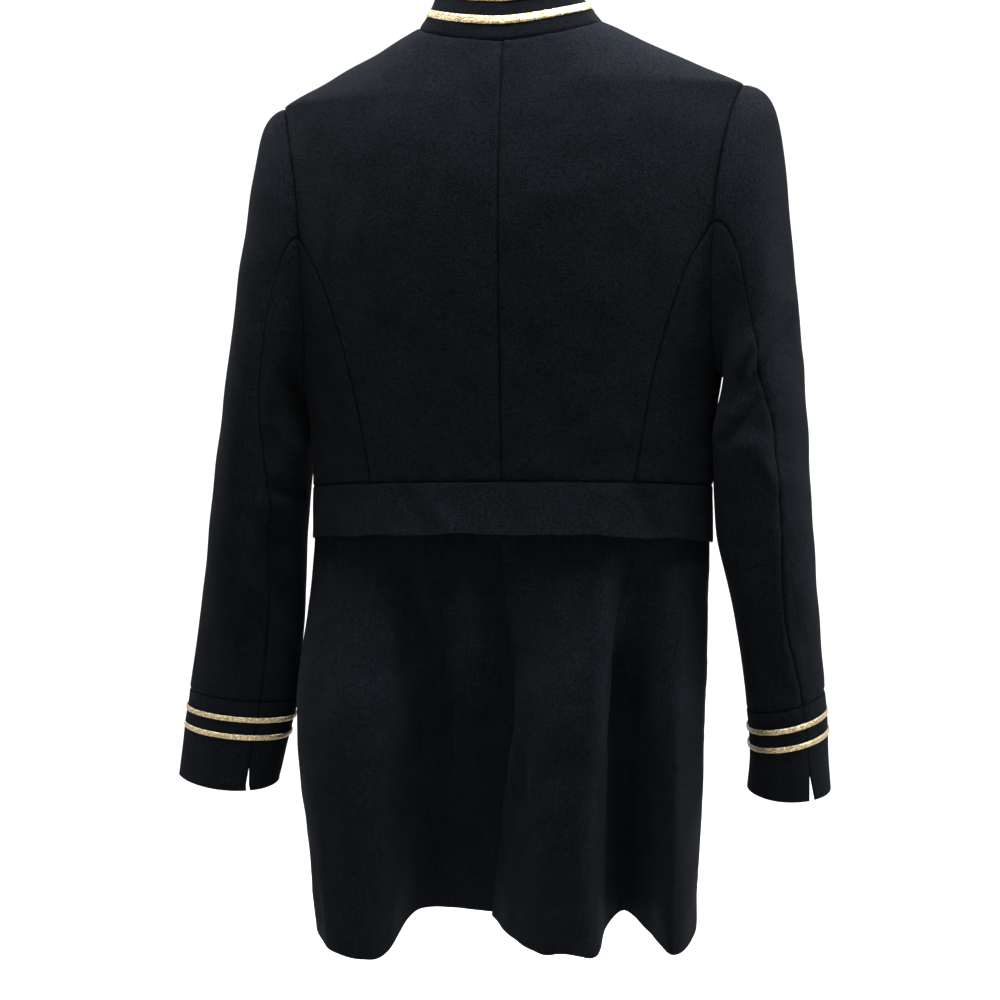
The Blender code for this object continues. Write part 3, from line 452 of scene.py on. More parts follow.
def cloth_lengths(points):
    """How far each point lies along its row and down its column, measured on the cloth."""
    along = np.linalg.norm(np.diff(points, axis=1), axis=-1)
    fall = np.linalg.norm(np.diff(points, axis=0), axis=-1)
    return (np.pad(np.cumsum(along, axis=1), ((0, 0), (1, 0))),
            np.pad(np.cumsum(fall, axis=0), ((1, 0), (0, 0))))


def from_edges(across, down):
    """How far each point lies from each edge of its piece."""
    return {"left": across, "right": across[:, -1:] - across, "top": down,
            "bottom": down[-1:] - down}


def tailor(outer, out, wall, seams, roll=SEAM_ROLL, unevenness=0.55, seed=1,
           sink_way=None, wall_way=None):
    """Outer and inner points of a fine wall: it rolls into its seams and puckers beside them."""
    sink_way = out if sink_way is None else sink_way
    wall_way = out if wall_way is None else wall_way
    across, down = cloth_lengths(outer)
    away = from_edges(across, down)
    inside = np.minimum.reduce([np.clip(away[edge] / SWELL_START, 0, 1) for edge in seams])
    swell = unevenness * wander(outer, SWELL_SIZE, seed) * inside
    sunk = np.zeros_like(across)
    for edge in seams:
        sunk -= roll * np.exp(-(away[edge] / SEAM_REACH) ** 2)
        beside = np.exp(-away[edge] / PUCKER_REACH) * (away[edge] > 0)
        swell = swell + PUCKER * wander(outer, PUCKER_SIZE, seed + 7) * beside
    cut = np.stack([across, down], axis=-1) * METRE
    swollen = outer + out * swell[..., None]
    return swollen + sink_way * sunk[..., None], swollen - wall_way * wall, cut


SHARP = 55.0                # degrees: a harder bend than this shows as an edge


def add_wall(name, outer, inner, cut, looks, soft_edges=(), bulge=0.55, seam_shade_edges=None):
    """A closed wall between two nets, its outside in the first material, its inside in the last.
    A soft edge is one that is turned and free: it rounds out by the bulge. Along the others
    lies a dark line of painted seam shade, unless the last argument names the edges that get it."""
    rows, columns = outer.shape[:2]
    rim = [(0, j) for j in range(columns - 1)] + [(i, columns - 1) for i in range(rows - 1)]
    rim += [(rows - 1, j) for j in range(columns - 1, 0, -1)]
    rim += [(i, 0) for i in range(rows - 1, 0, -1)]
    rim_rows, rim_columns = np.array(rim).T
    in_rows = np.clip(rim_rows, 1, rows - 2)
    in_columns = np.clip(rim_columns, 1, columns - 2)
    edge = (outer[rim_rows, rim_columns] + inner[rim_rows, rim_columns]) / 2
    back = (outer[in_rows, in_columns] + inner[in_rows, in_columns]) / 2
    soft = np.full(len(rim), SEAM_HOLD)
    for side, found in (("top", rim_rows == 0), ("bottom", rim_rows == rows - 1),
                        ("left", rim_columns == 0), ("right", rim_columns == columns - 1)):
        soft = np.where(found & (side in soft_edges), bulge, soft)
    middle = edge + unit(edge - back) * soft[:, None]
    points = np.concatenate([outer.reshape(-1, 3), inner.reshape(-1, 3), middle])
    number = np.arange(rows * columns).reshape(rows, columns)
    quads = np.stack([number[:-1, :-1], number[1:, :-1], number[1:, 1:], number[:-1, 1:]], axis=-1)
    quads = quads.reshape(-1, 4)
    ring = number[rim_rows, rim_columns]
    turned = 2 * rows * columns + np.arange(len(rim))
    following = np.roll(ring, -1)
    turned_following = np.roll(turned, -1)
    offset = rows * columns
    faces = np.concatenate([
        quads,
        quads[:, ::-1] + offset,
        np.stack([ring, following, turned_following, turned], axis=-1),
        np.stack([turned, turned_following, following + offset, ring + offset], axis=-1)])
    corners = points[faces]
    volume = np.sum(np.cross(corners[:, 0], corners[:, 1]) * corners[:, 2])
    volume += np.sum(np.cross(corners[:, 0], corners[:, 2]) * corners[:, 3])
    if volume < 0:
        faces = faces[:, ::-1]
    mesh = bpy.data.meshes.new(name)
    mesh.from_pydata((points * METRE).tolist(), [], faces.tolist())
    flat = np.concatenate([cut.reshape(-1, 2), cut.reshape(-1, 2), cut[rim_rows, rim_columns]])
    layer = mesh.uv_layers.new(name="cut")
    layer.data.foreach_set("uv", flat[faces.reshape(-1)].astype(np.float32).reshape(-1))
    for look in looks:
        mesh.materials.append(look)
    kinds = np.zeros(len(faces), dtype=np.int32)
    kinds[len(quads):2 * len(quads)] = len(looks) - 1
    mesh.polygons.foreach_set("material_index", kinds)
    # Painted shade: a dark line along the seam edges, which darkens the wool's colour there.
    away = from_edges(cut[..., 0] / METRE, cut[..., 1] / METRE)
    if seam_shade_edges is None:
        seam_shade_edges = [side for side in away if side not in soft_edges]
    nearest = np.minimum.reduce([away[side] for side in seam_shade_edges])
    line = np.exp(-(nearest / SEAM_SHADE_REACH) ** 2)
    line = np.concatenate([line.reshape(-1), line.reshape(-1), line[rim_rows, rim_columns]])
    seam_shade_line = mesh.attributes.new("seam_shade", "FLOAT", "POINT")
    seam_shade_line.data.foreach_set("value", line.astype(np.float32))
    mesh.shade_smooth()
    mesh.set_sharp_from_angle(angle=math.radians(SHARP))
    mesh.update()
    piece = bpy.data.objects.new(name, mesh)
    bpy.context.scene.collection.objects.link(piece)
    return piece


def sew_in(piece, node):
    """Puts a cloth piece in its node's place: it hangs from the root, and the node is hidden."""
    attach(piece, "root")
    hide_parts(node)


def body_wall(name, places, side, seed):
    """A panel of the body: its folds, its sunken seams with painted shade all round, and its place.
    """
    angle = side * places[..., 0]
    drop = places[..., 1]
    out = normal(body_point, angle, drop)
    outer = body_point(angle, drop)
    outer = outer + out * fold_push(outer, out, BODY_FOLDS)[..., None]
    outer, inner, cut = tailor(outer, out, WALL, ("top", "bottom", "left", "right"), seed=seed)
    piece = add_wall(f"{name}_wool", outer, inner, cut, (wool, lining))
    sew_in(piece, name)


NECK_SHARE = 0.42           # how much of a panel's top the neck seam takes, before the shoulder
BACK_ARM_SHARE = 0.36       # how much of the back's side the armhole takes
for side, word in ((1, "right"), (-1, "left")):
    across = marks(205, 2.3)
    fall = marks(330, 2.7)
    top = joined(neck_seam, shoulder_seam, NECK_SHARE, across)
    right = joined(lambda u: armhole(JUNCTION * u), side_back_seam, BACK_ARM_SHARE, fall)
    left = np.array((0.0, WAIST_DROP)) * ((right[:, 1:] - TIP_DROP) / (right[-1, 1] - TIP_DROP))
    bottom = waist_seam(0, right[-1][0], across)
    places = cut_panel(0, 100, across, top, bottom, left, right)
    body_wall(f"back_{word}", places, side, 3 + side)


# The side backs: narrow panels that round the body from the curved back seam to the side seam.
# Their tops are cut to the armhole, and their folds run from the underarm in to the waist.
for side, word in ((1, "right"), (-1, "left")):
    across = marks(95, 2.1)
    fall = marks(215, 2.5)
    left = side_back_seam(fall)
    top = armhole(JUNCTION + (180 - JUNCTION) * across)
    right = top[-1] + (np.array((90.0, waist_drop(90))) - top[-1]) * fall[:, None]
    bottom = waist_seam(left[-1][0], 90, across)
    places = cut_panel(0, 100, across, top, bottom, left, right)
    body_wall(f"side_back_{word}", places, side, 11 + side)


# The fronts: two panels of the same wool that meet edge to edge at the centre front. The photo
# doesn't show this side, so they carry only the neck, shoulder, armhole and waist seams.
FRONT_ARM_SHARE = 0.72      # how much of the front's side the armhole takes


def side_seam(share):
    """Places on the side seam, from the armhole's bottom to the waist."""
    fall = np.array((0.0, waist_drop(90) - ARM_BOTTOM))
    return np.array((90.0, ARM_BOTTOM)) + fall * share[:, None]


for side, word in ((1, "right"), (-1, "left")):
    across = marks(215, 2.7)
    fall = marks(380, 3.1)
    top = joined(lambda u: neck_seam(2 - u), shoulder_seam, NECK_SHARE, across)
    right = joined(lambda u: armhole(360 - 180 * u), side_seam, FRONT_ARM_SHARE, fall)
    level = (right[:, 1:] - TIP_DROP) / (right[-1, 1] - TIP_DROP)
    left = top[0] + np.array((0, waist_drop(180) - top[0][1])) * level
    bottom = waist_seam(180, 90, across)
    places = cut_panel(180, 80, across, top, bottom, left, right)
    body_wall(f"front_{word}", places, side, 17 + side)


# The collar: a stiffened stand collar, sewn round the neck seam and open at the centre front. Two
# rows of flat gold braid run round it, one near its top edge and one near its foot.
LAY = 0.3                   # air under a piece that lies on another
COLLAR_HEIGHT = 42.0
COLLAR_WALL = 2.4
COLLAR_LEAN = 8.0           # degrees, towards the neck
SIDE_LEAN = 32.0            # how much more it leans over the shoulders
LEAN_REACH = 0.42           # how far along the neck seam that goes, where 1 is a quarter of it
COLLAR_BRAIDS = (16.0, 35.0)
COLLAR_BRAID_WIDTH = 6.5
COLLAR_FOOT = -0.9          # its sewn edge lies this far below the neck seam
FRONT_EDGE = 1.998          # its ends along the neck seam, where 2 is the centre front
COLLAR_LENGTH = 430.0
NECK_PROBE = 0.04           # the step along the neck seam that shows which way it runs
BRAID_THICK = 1.1
BRAID_EDGE = 0.45           # how thick its edges are, as a share of that
BRAID_GROOVE = 0.18         # the depth of the groove along its middle
GROOVE_HALF = 0.1           # and half its width, as a share of the braid's
BRAID_UNEVEN = 0.10
BRAID_MARK = 1.2            # the steps of its mesh along it

# Flat metal-thread braid: gilt strip wound on a yellow core and woven in a fine herringbone, so
# each thread glints on its own. Threads of 0.25 mm are drawn 0.6 mm wide, as fine as shows.
THREAD = 0.0006
HERRINGBONE = 0.0012        # the spacing of the herringbone's ribs
gilt, tree, shader = new_material("woven_gilt_braid", Metallic=0.85)
place = add_node(tree, "ShaderNodeTexCoord")
cut = add_node(tree, "ShaderNodeUVMap", uv_map="cut")
sparks = add_node(tree, "ShaderNodeTexVoronoi", {
    "Vector": place.outputs["Object"], "Scale": 1 / THREAD})
spark = add_node(tree, "ShaderNodeSeparateColor", {"Color": sparks.outputs["Color"]})
glint = add_node(tree, "ShaderNodeValToRGB", {"Fac": spark.outputs["Red"]})
glint.color_ramp.elements[0].color = linear("#453b27")
glint.color_ramp.elements[1].color = linear("#bfb394")
glint.color_ramp.elements.new(0.55).color = linear("#7c6d4c")
tree.links.new(glint.outputs["Color"], shader.inputs["Base Color"])
gloss = add_node(tree, "ShaderNodeMapRange", {"Value": spark.outputs["Green"], "To Min": 0.24,
                                              "To Max": 0.60})
tree.links.new(gloss.outputs["Result"], shader.inputs["Roughness"])
herringbone = add_node(tree, "ShaderNodeTexWave", {
    "Vector": cut.outputs["UV"], "Scale": DIAGONAL / HERRINGBONE, "Distortion": 0.6},
    bands_direction="DIAGONAL")
ridges = add_node(tree, "ShaderNodeBump", {"Height": herringbone.outputs["Fac"], "Strength": 0.5,
                                           "Distance": 0.0003})
facets = add_node(tree, "ShaderNodeBump", {"Height": spark.outputs["Blue"], "Strength": 0.6,
                                           "Distance": 0.0003, "Normal": ridges.outputs["Normal"]})
tree.links.new(facets.outputs["Normal"], shader.inputs["Normal"])


def neck_point(k):
    """A point of the neck seam, with negative numbers on the left side."""
    place = neck_seam(np.abs(k))
    return body_point(np.where(k < 0, -1.0, 1.0) * place[..., 0], place[..., 1])


def collar_point(k, height):
    """A point of the collar's outside, and its outward direction."""
    foot = neck_point(k)
    ahead = neck_point(np.minimum(k + NECK_PROBE, 2))
    along = ahead - neck_point(np.maximum(k - NECK_PROBE, -2))
    along[..., 2] = 0
    up = np.array([0.0, 0.0, 1.0])
    away = unit(np.cross(along, up))
    lean = COLLAR_LEAN + SIDE_LEAN * np.exp(-((np.abs(k) - 1) / LEAN_REACH) ** 2)
    lean = np.radians(lean)[..., None]
    rise = np.cos(lean) * up - np.sin(lean) * away
    return foot + np.asarray(height)[..., None] * rise, np.cos(lean) * away + np.sin(lean) * up


def collar_strip(low, high, step, shares):
    """Points and outward directions of a strip round the collar, from its top edge down."""
    k = FRONT_EDGE * (2 * marks(COLLAR_LENGTH, step)[None, :] - 1)
    height = high - (high - low) * np.asarray(shares)[:, None]
    k, height = np.broadcast_arrays(k, height)
    return collar_point(k, height)


def braid_face(points, out):
    """The outer face of a braid: lower at both edges, with a shallow groove along its middle."""
    share = np.linspace(0, 1, len(points))[:, None]
    rounded = BRAID_EDGE + (1 - BRAID_EDGE) * (1 - np.abs(2 * share - 1) ** 3)
    groove = BRAID_GROOVE * np.exp(-((share - 0.5) / GROOVE_HALF) ** 2)
    height = BRAID_THICK * rounded - groove + BRAID_UNEVEN * wander(points, 6, 5)
    return points + out * (LAY + height)[..., None]


braid_strips = {}           # the strip of cloth under each braid, for its stitches


def add_braid(name, points, out):
    """A flat braid laid along a strip of points."""
    braid_strips[name] = (points, out)
    cut = np.stack(cloth_lengths(points), axis=-1) * METRE
    piece = add_wall(f"{name}_gilt", braid_face(points, out), points + out * LAY, cut,
                     (gilt, gilt), soft_edges=("top", "bottom"), bulge=0.15)
    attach(piece, "root")
    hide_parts(name)
    return piece


for number, middle in enumerate(COLLAR_BRAIDS, start=1):
    half = COLLAR_BRAID_WIDTH / 2
    points, out = collar_strip(middle - half, middle + half, BRAID_MARK, np.linspace(0, 1, 11))
    add_braid(f"collar_braid_{number}", points, out)

points, out = collar_strip(COLLAR_FOOT, COLLAR_HEIGHT, 1.6, marks(COLLAR_HEIGHT, 1.9))
outer, inner, cut = tailor(points, out, COLLAR_WALL, ("bottom",), unevenness=0.3, seed=23)
collar = add_wall("collar_wool", outer, inner, cut, (wool, lining),
                  soft_edges=("top", "left", "right"))
sew_in(collar, "collar")


# The sleeves: two-piece tailored sleeves. The top sleeve wraps the outside of the arm, the narrower
# under sleeve lies next to the body, and the seam between them at the back runs down to the cuff.
HEAD_DROP = 330.0           # the sleeve is a free tube below this
FREE_STEP = 100.0           # and is counted in steps of this from there
CUFF_DROP = 563.0           # where the sleeve meets its cuff
SLEEVE_COLUMNS = "drop centre_x centre_y half_x half_y turn rise seam"
SLEEVE_LEFT = table(SLEEVE_COLUMNS, [
    (330, 226.5, 0, 40.5, 61, 0, 2, 113),
    (411, 236, 2, 42.5, 53, 6, 3, 134),
    (485, 244.5, 4, 49, 44, 12, 3, 138),
    (563, 255.5, 7, 56, 33, 14, 3, 128),
    (607, 265, 9, 54, 32, 14, 2, 129),
    (644, 273, 10, 51, 33, 12, 0, 134),
])
SLEEVE_RIGHT = table(SLEEVE_COLUMNS, [
    (330, 213.8, 0, 38.8, 61, -12, 3, 55),
    (411, 218.5, 2, 40.5, 56, -7, 5, 62),
    (485, 230.5, 5, 35, 53, 0, 7, 79),
    (563, 239.5, 8, 33.5, 47, 0, 8, 65),
    (607, 243, 10, 34, 45, 0, 6, 62),
    (644, 244, 12, 36.5, 43, 0, 0, 57),
])
SLEEVE_TILT = 0.028
SEAM_BEND = {-1: 3.0, 1: 1.3}           # how late each hind-arm seam leaves the armhole's line
HEAD_PUSH = (42.0, 14.0, 16.0)          # how strongly it leaves the armhole: out, back and down
SHOULDER_PUSH = {-1: 38.0, 1: 56.0}     # how much more its top goes out
SHOULDER_FALL = 30.0                    # and down
HEAD_ARRIVE = 1.05                      # how strongly it arrives at the free tube, by its length
HEAD_SHORTEST = 20.0
HEAD_FULL = {-1: 7.5, 1: 10.0}          # how far the sleeve's head stands out, just below the seam
HEAD_PEAK = 0.067                       # the greatest value of t (1 - t)^5, which shapes that
# The main folds of each sleeve: a ridge, or a trough where the push is negative, along the arm.
FOLD_START = 0.25           # they fade in over this much of the sleeve's head
FOLD_END = 30.0             # and out over this length above the cuff
SLEEVE_FOLDS = {
    -1: table("top bottom at_top at_bottom spread push", [
        (120, 330, 35, 62, 20, 3.0),
        (235, 380, 150, 112, 22, -7.0),
        (370, 470, 150, 128, 20, -5.0),
        (440, 560, 140, 110, 22, -6.0),
        (250, 520, 60, 78, 26, 3.5),
    ]),
    1: table("top bottom at_top at_bottom spread push", [
        (120, 330, 35, 60, 20, 3.0),
        (205, 330, 74, 138, 27, -6.0),
        (320, 520, 38, 58, 22, 3.5),
        (360, 470, 120, 95, 20, -4.0),
        (450, 560, 100, 128, 22, -4.5),
    ]),
}
# The finer creases that the cloth takes at the elbow and the underarm, as on the body.
SLEEVE_CREASES = table("face x drop to_x to_drop width push", [
    (-1, -200, 272, -176, 334, 8, -6.5),
    (-1, -204, 312, -182, 360, 7, 3.6),
    (-1, -214, 368, -178, 404, 8, -5.0),
    (-1, -232, 396, -190, 452, 8, -3.6),
    (-1, -210, 420, -196, 526, 9, -6.5),
    (-1, -234, 434, -202, 536, 9, 4.0),
    (-1, -262, 300, -250, 470, 12, -1.2),
    (-1, -286, 420, -268, 540, 12, -1.0),
    (-1, -214, 120, -206, 250, 9, -1.0),
    (-1, 233, 214, 190, 306, 13, -9.0),
    (-1, 240, 196, 196, 276, 10, 4.0),
    (-1, 214, 288, 182, 334, 8, -5.0),
    (-1, 194, 314, 228, 376, 9, 3.8),
    (-1, 222, 120, 232, 250, 10, -0.9),
    (-1, 206, 340, 214, 470, 9, -2.2),
    (-1, 238, 380, 244, 540, 11, -1.6),
    (-1, 212, 496, 238, 558, 8, -2.2),
    (1, -240, 250, -206, 340, 9, -2.2),
    (1, -262, 380, -226, 450, 8, -1.8),
    (1, -280, 470, -246, 540, 9, -1.6),
    (1, 236, 240, 196, 330, 9, -2.2),
    (1, 246, 370, 214, 440, 8, -1.8),
    (1, 252, 470, 222, 540, 9, -1.5),
])


def ring_point(rows, side, phi, drop):
    """A point of the hanging part of a sleeve: 0 degrees is outside, 90 the back, 180 inside."""
    turn = np.radians(phi)
    across = smooth(rows, "half_x", drop) * np.cos(turn)
    deep = -smooth(rows, "half_y", drop) * np.sin(turn)
    spin = np.radians(smooth(rows, "turn", drop))
    x = smooth(rows, "centre_x", drop) + across * np.cos(spin) - deep * np.sin(spin)
    y = smooth(rows, "centre_y", drop) + across * np.sin(spin) + deep * np.cos(spin)
    z = NECK_HEIGHT - drop + smooth(rows, "rise", drop) * np.cos(turn) + SLEEVE_TILT * side * x
    return np.stack([side * x, y, z], axis=-1)


def sleeve_folds(side, phi, drop):
    """How far the cloth stands out of the plain sleeve."""
    folds = SLEEVE_FOLDS[side]
    push = np.zeros_like(drop, dtype=float)
    for top, bottom, start, end, spread, size in zip(*folds.values()):
        t = (drop - top) / (bottom - top)
        middle = start + (end - start) * np.clip(t, 0, 1)
        off = (phi - middle + 180) % 360 - 180
        fade = np.sin(np.pi * np.clip(t, 0, 1)) ** 1.5
        push += size * fade * np.exp(-(off / spread) ** 2)
    return push


def sleeve_point(side, phi, down):
    """A point of the sleeve: down runs from 0 at the armhole to 1 at the free tube, then on in
    steps of the tube."""
    rows = SLEEVE_RIGHT if side > 0 else SLEEVE_LEFT
    turn = np.radians(phi)
    place = armhole(phi % 360)
    start = body_point(side * place[..., 0], place[..., 1])
    high = (1 + np.cos(turn)) / 2
    push_out, push_back, push_down = HEAD_PUSH
    leave = np.stack([side * (push_out + SHOULDER_PUSH[side] * high), -push_back * np.sin(turn),
                      -(push_down + SHOULDER_FALL * high)], axis=-1)
    drop = HEAD_DROP + FREE_STEP * np.maximum(down - 1, 0)
    end = ring_point(rows, side, phi, drop)
    length = np.maximum(HEAD_DROP - place[..., 1], HEAD_SHORTEST)[..., None] * HEAD_ARRIVE
    tube = ring_point(rows, side, phi, HEAD_DROP)
    arrive = ring_point(rows, side, phi, HEAD_DROP + 1.0) - tube
    t = np.clip(down, 0, 1)[..., None]
    curve = (start * (2 * t ** 3 - 3 * t ** 2 + 1) + leave * (t ** 3 - 2 * t ** 2 + t)
             + tube * (3 * t ** 2 - 2 * t ** 3) + arrive * length * (t ** 3 - t ** 2))
    point = np.where(t < 1, curve, end)
    head_level = place[..., 1] + (HEAD_DROP - place[..., 1]) * np.clip(down, 0, 1)
    level = np.where(down < 1, head_level, drop)
    out = np.stack([side * np.cos(turn), -np.sin(turn), np.zeros_like(turn)], axis=-1)
    fade = np.clip(down / FOLD_START, 0, 1) * np.clip((CUFF_DROP - drop) / FOLD_END, 0, 1)
    head = HEAD_FULL[side] * high ** 2 * t[..., 0] * (1 - t[..., 0]) ** 5 / HEAD_PEAK
    return point + out * (sleeve_folds(side, phi, level) * fade + head)[..., None]


def sleeve_out(side, phi, down):
    """The sleeve's outward direction at each of its points."""
    return -side * normal(lambda a, b: sleeve_point(side, a, b), phi, down,
                          step_down=0.004, low=0.0)


def seam_angle(side, down):
    """Where the hind-arm seam lies round the sleeve."""
    rows = SLEEVE_RIGHT if side > 0 else SLEEVE_LEFT
    drop = HEAD_DROP + FREE_STEP * np.maximum(down - 1, 0)
    bend = np.clip(down, 0, 1) ** SEAM_BEND[side]
    return JUNCTION + (smooth(rows, "seam", drop) - JUNCTION) * bend


CUFF_DOWN = 1 + (CUFF_DROP - HEAD_DROP) / FREE_STEP
ARMHOLE_BLEND = 5.0         # within this of the armhole the sleeve's edge sinks with the body's
CREASE_FADE = 0.12          # the fine creases fade out this close to the armhole and the cuff
# The rows of the sleeves' meshes lie closer at the armhole and at the cuff, where the cloth turns.
HEAD_ROWS = np.array([0, 0.002, 0.005, 0.009, 0.014, *np.linspace(0.022, 1, 84)[:-1]])
TUBE_ROWS = 1 + (CUFF_DOWN - 1) * np.linspace(0, 1, 82)[:-3]
END_ROWS = CUFF_DOWN - np.array([0.029, 0.019, 0.011, 0.005, 0.0])
for side, word in ((1, "right"), (-1, "left")):
    down = np.concatenate([HEAD_ROWS, TUBE_ROWS, END_ROWS])[:, None]
    seam = seam_angle(side, down)
    for name, first, last, width, flat, area, seed in (
            ("top_sleeve", FRONT_SEAM - 360, seam, 190, (0.245, 0.560), 0.090, 31),
            ("under_sleeve", seam, FRONT_SEAM, 150, (0.170, 0.440), 0.045, 37)):
        phi = first + (last - first) * marks(width, 2.4)[None, :]
        rows = np.broadcast_to(down, phi.shape)
        out = sleeve_out(side, phi, rows)
        points = sleeve_point(side, phi, rows)
        fade = np.clip(rows / CREASE_FADE, 0, 1) * np.clip((CUFF_DOWN - rows) / CREASE_FADE, 0, 1)
        points = points + out * (fold_push(points, out, SLEEVE_CREASES) * fade)[..., None]
        place = armhole(phi[:1] % 360)
        body_out = normal(body_point, side * place[..., 0], place[..., 1])
        agree = np.clip(np.sum(out * body_out, axis=-1, keepdims=True), 0, 1)
        below = np.linalg.norm(points - points[:1], axis=-1, keepdims=True)
        near = np.exp(-(below / ARMHOLE_BLEND) ** 2)
        outer, inner, cut = tailor(points, out, WALL, ("top", "bottom", "left", "right"),
                                   seed=seed + side,
                                   sink_way=unit(out + near * (body_out - out)),
                                   wall_way=unit(out + near * 2 * agree * body_out))
        piece = add_wall(f"{name}_{word}_wool", outer, inner, cut, (wool, lining))
        sew_in(piece, f"{name}_{word}")


# The cuffs: a band of the same wool sewn round each sleeve's end, with a short slit at the back and
# two rows of narrow gold braid above it.
CUFF_DEPTH = 80.0
CUFF_ROUND = 265.0
CUFF_BRAIDS = (17.5, 33.5)
CUFF_BRAID_WIDTH = 4.5
CUFF_SLIT = 25.0
CUFF_LOWEST = {-1: 132.0, 1: 90.0}      # degrees round the sleeve, where its hem hangs lowest
SLIT_HALF = {-1: 2.2, 1: 3.3}           # half the slit's width at the hem
CUFF_FALL = {-1: 6.5, 1: 2.0}           # how much lower it hangs there


def cuff_strip(side, depth, step, open_slit):
    """Points and outward directions of a strip all round the cuff, from the hind-arm seam."""
    depth = np.asarray(depth)[:, None]
    down = CUFF_DOWN + depth / FREE_STEP
    seam = seam_angle(side, down)
    beside = sleeve_point(side, seam + 1, down) - sleeve_point(side, seam - 1, down)
    per_degree = np.linalg.norm(beside, axis=-1) / 2
    opened = np.clip((depth - (CUFF_DEPTH - CUFF_SLIT)) / CUFF_SLIT, 0, 1) * open_slit
    gap = SLIT_HALF[side] * opened / per_degree
    phi = seam + gap + (360 - 2 * gap) * marks(CUFF_ROUND, step)[None, :]
    low = np.maximum(np.cos(np.radians(phi - CUFF_LOWEST[side])), 0)
    fall = CUFF_FALL[side] * (depth / CUFF_DEPTH) ** 2 * low
    down = down + fall / FREE_STEP
    return sleeve_point(side, phi, down), sleeve_out(side, phi, down)


for side, word in ((1, "right"), (-1, "left")):
    for number, middle in enumerate(CUFF_BRAIDS, start=1):
        half = CUFF_BRAID_WIDTH / 2
        depths = np.linspace(middle - half, middle + half, 9)
        points, out = cuff_strip(side, depths, BRAID_MARK, 0)
        add_braid(f"cuff_braid_{word}_{number}", points, out)
    points, out = cuff_strip(side, CUFF_DEPTH * marks(CUFF_DEPTH, 1.9), 1.9, 1)
    outer, inner, cut = tailor(points, out, WALL, ("top",), unevenness=0.4, seed=41 + side)
    # The painted seam shade runs along its top and along the slit's edges.
    cuff = add_wall(f"cuff_{word}_wool", outer, inner, cut, (wool, lining),
                    soft_edges=("bottom", "left", "right"), bulge=0.5,
                    seam_shade_edges=("top", "left", "right"))
    sew_in(cuff, f"cuff_{word}")


# The skirts: four full panels that hang from the waist seam in deep flutes. The right back one laps
# over the left one at the centre, where the seam stops and a long vent opens to the hem.
SKIRT_COLUMNS = "waist mid_x mid_y hem_x hem_y hem_drop"
SKIRT_BACK_LEFT = table(SKIRT_COLUMNS, [
    (-90, -191, 5, -174, 8, 754),
    (-78, -190, -38, -172, -40, 756),
    (-64, -170, -78, -157, -86, 760),
    (-50, -130, -97, -134, -112, 762),
    (-37, -94, -90, -108, -113, 767),
    (-29, -78, -64, -95, -90, 768),
    (-23, -65, -50, -82, -33, 754),
    (-15, -44, -58, -52, -22, 753),
    (-8, -22, -58, -30, -24, 754),
    (0, 8, -60, -10, -29, 754),
])
SKIRT_BACK_RIGHT = table(SKIRT_COLUMNS, [
    (0, 8, -60, -14, -34, 754),
    (9, 27, -83, 10, -74, 755),
    (18, 47, -97, 36, -104, 756),
    (28, 69, -101, 62, -113, 753),
    (36, 90, -92, 86, -104, 757),
    (42, 97, -65, 91, -60, 750),
    (49, 111, -51, 104, -33, 744),
    (57, 132, -62, 127, -55, 752),
    (67, 152, -72, 148, -93, 756),
    (79, 169, -38, 164, -60, 758),
    (90, 171, 5, 165, 8, 754),
])
SKIRT_FRONT = table(SKIRT_COLUMNS, [
    (90, 175, 5, 172, 8, 755),
    (104, 167, 48, 164, 55, 755),
    (120, 142, 82, 143, 102, 756),
    (135, 116, 74, 118, 72, 756),
    (150, 82, 92, 86, 114, 757),
    (165, 42, 90, 44, 104, 758),
    (180, 0, 88, 0, 96, 760),
])
VENT_TOP = 588.0            # the centre back seam is open below this
UNDERLAP = 30.0             # how far the left skirt goes on under the right one
SEAM_LAP = 3.0              # the same above the vent, where the two are sewn
LAP_BACK = 2.8              # how far behind the right skirt it lies
LAP_LINE = 8                # the line of the left skirt where it starts to go back
LAP_WAY = (1.0, 0.05, 0.0)
VENT_WIDENS = 0.03          # the lap widens over this share of the skirt
SKIRT_INSET = 2.3           # the skirt's top lies inside the flap's
SKIRT_WIDTH = 300.0         # of one panel's mesh, and its length
SKIRT_LENGTH = 385.0
HEM_TURN = 34.0             # the hem is turned up this far, and its edge prints through
HEM_STEP = 0.25             # how much thicker the turned part stands
HEM_EDGE = 0.35             # and its edge
HEM_EDGE_HALF = 2.2
HEM_UNEVEN = 0.8
FLUTE_START = 0.1           # the creases fade in over this share of the skirt
SIDE_NEAR = 1.5             # degrees from the side seam where both panels face the same way
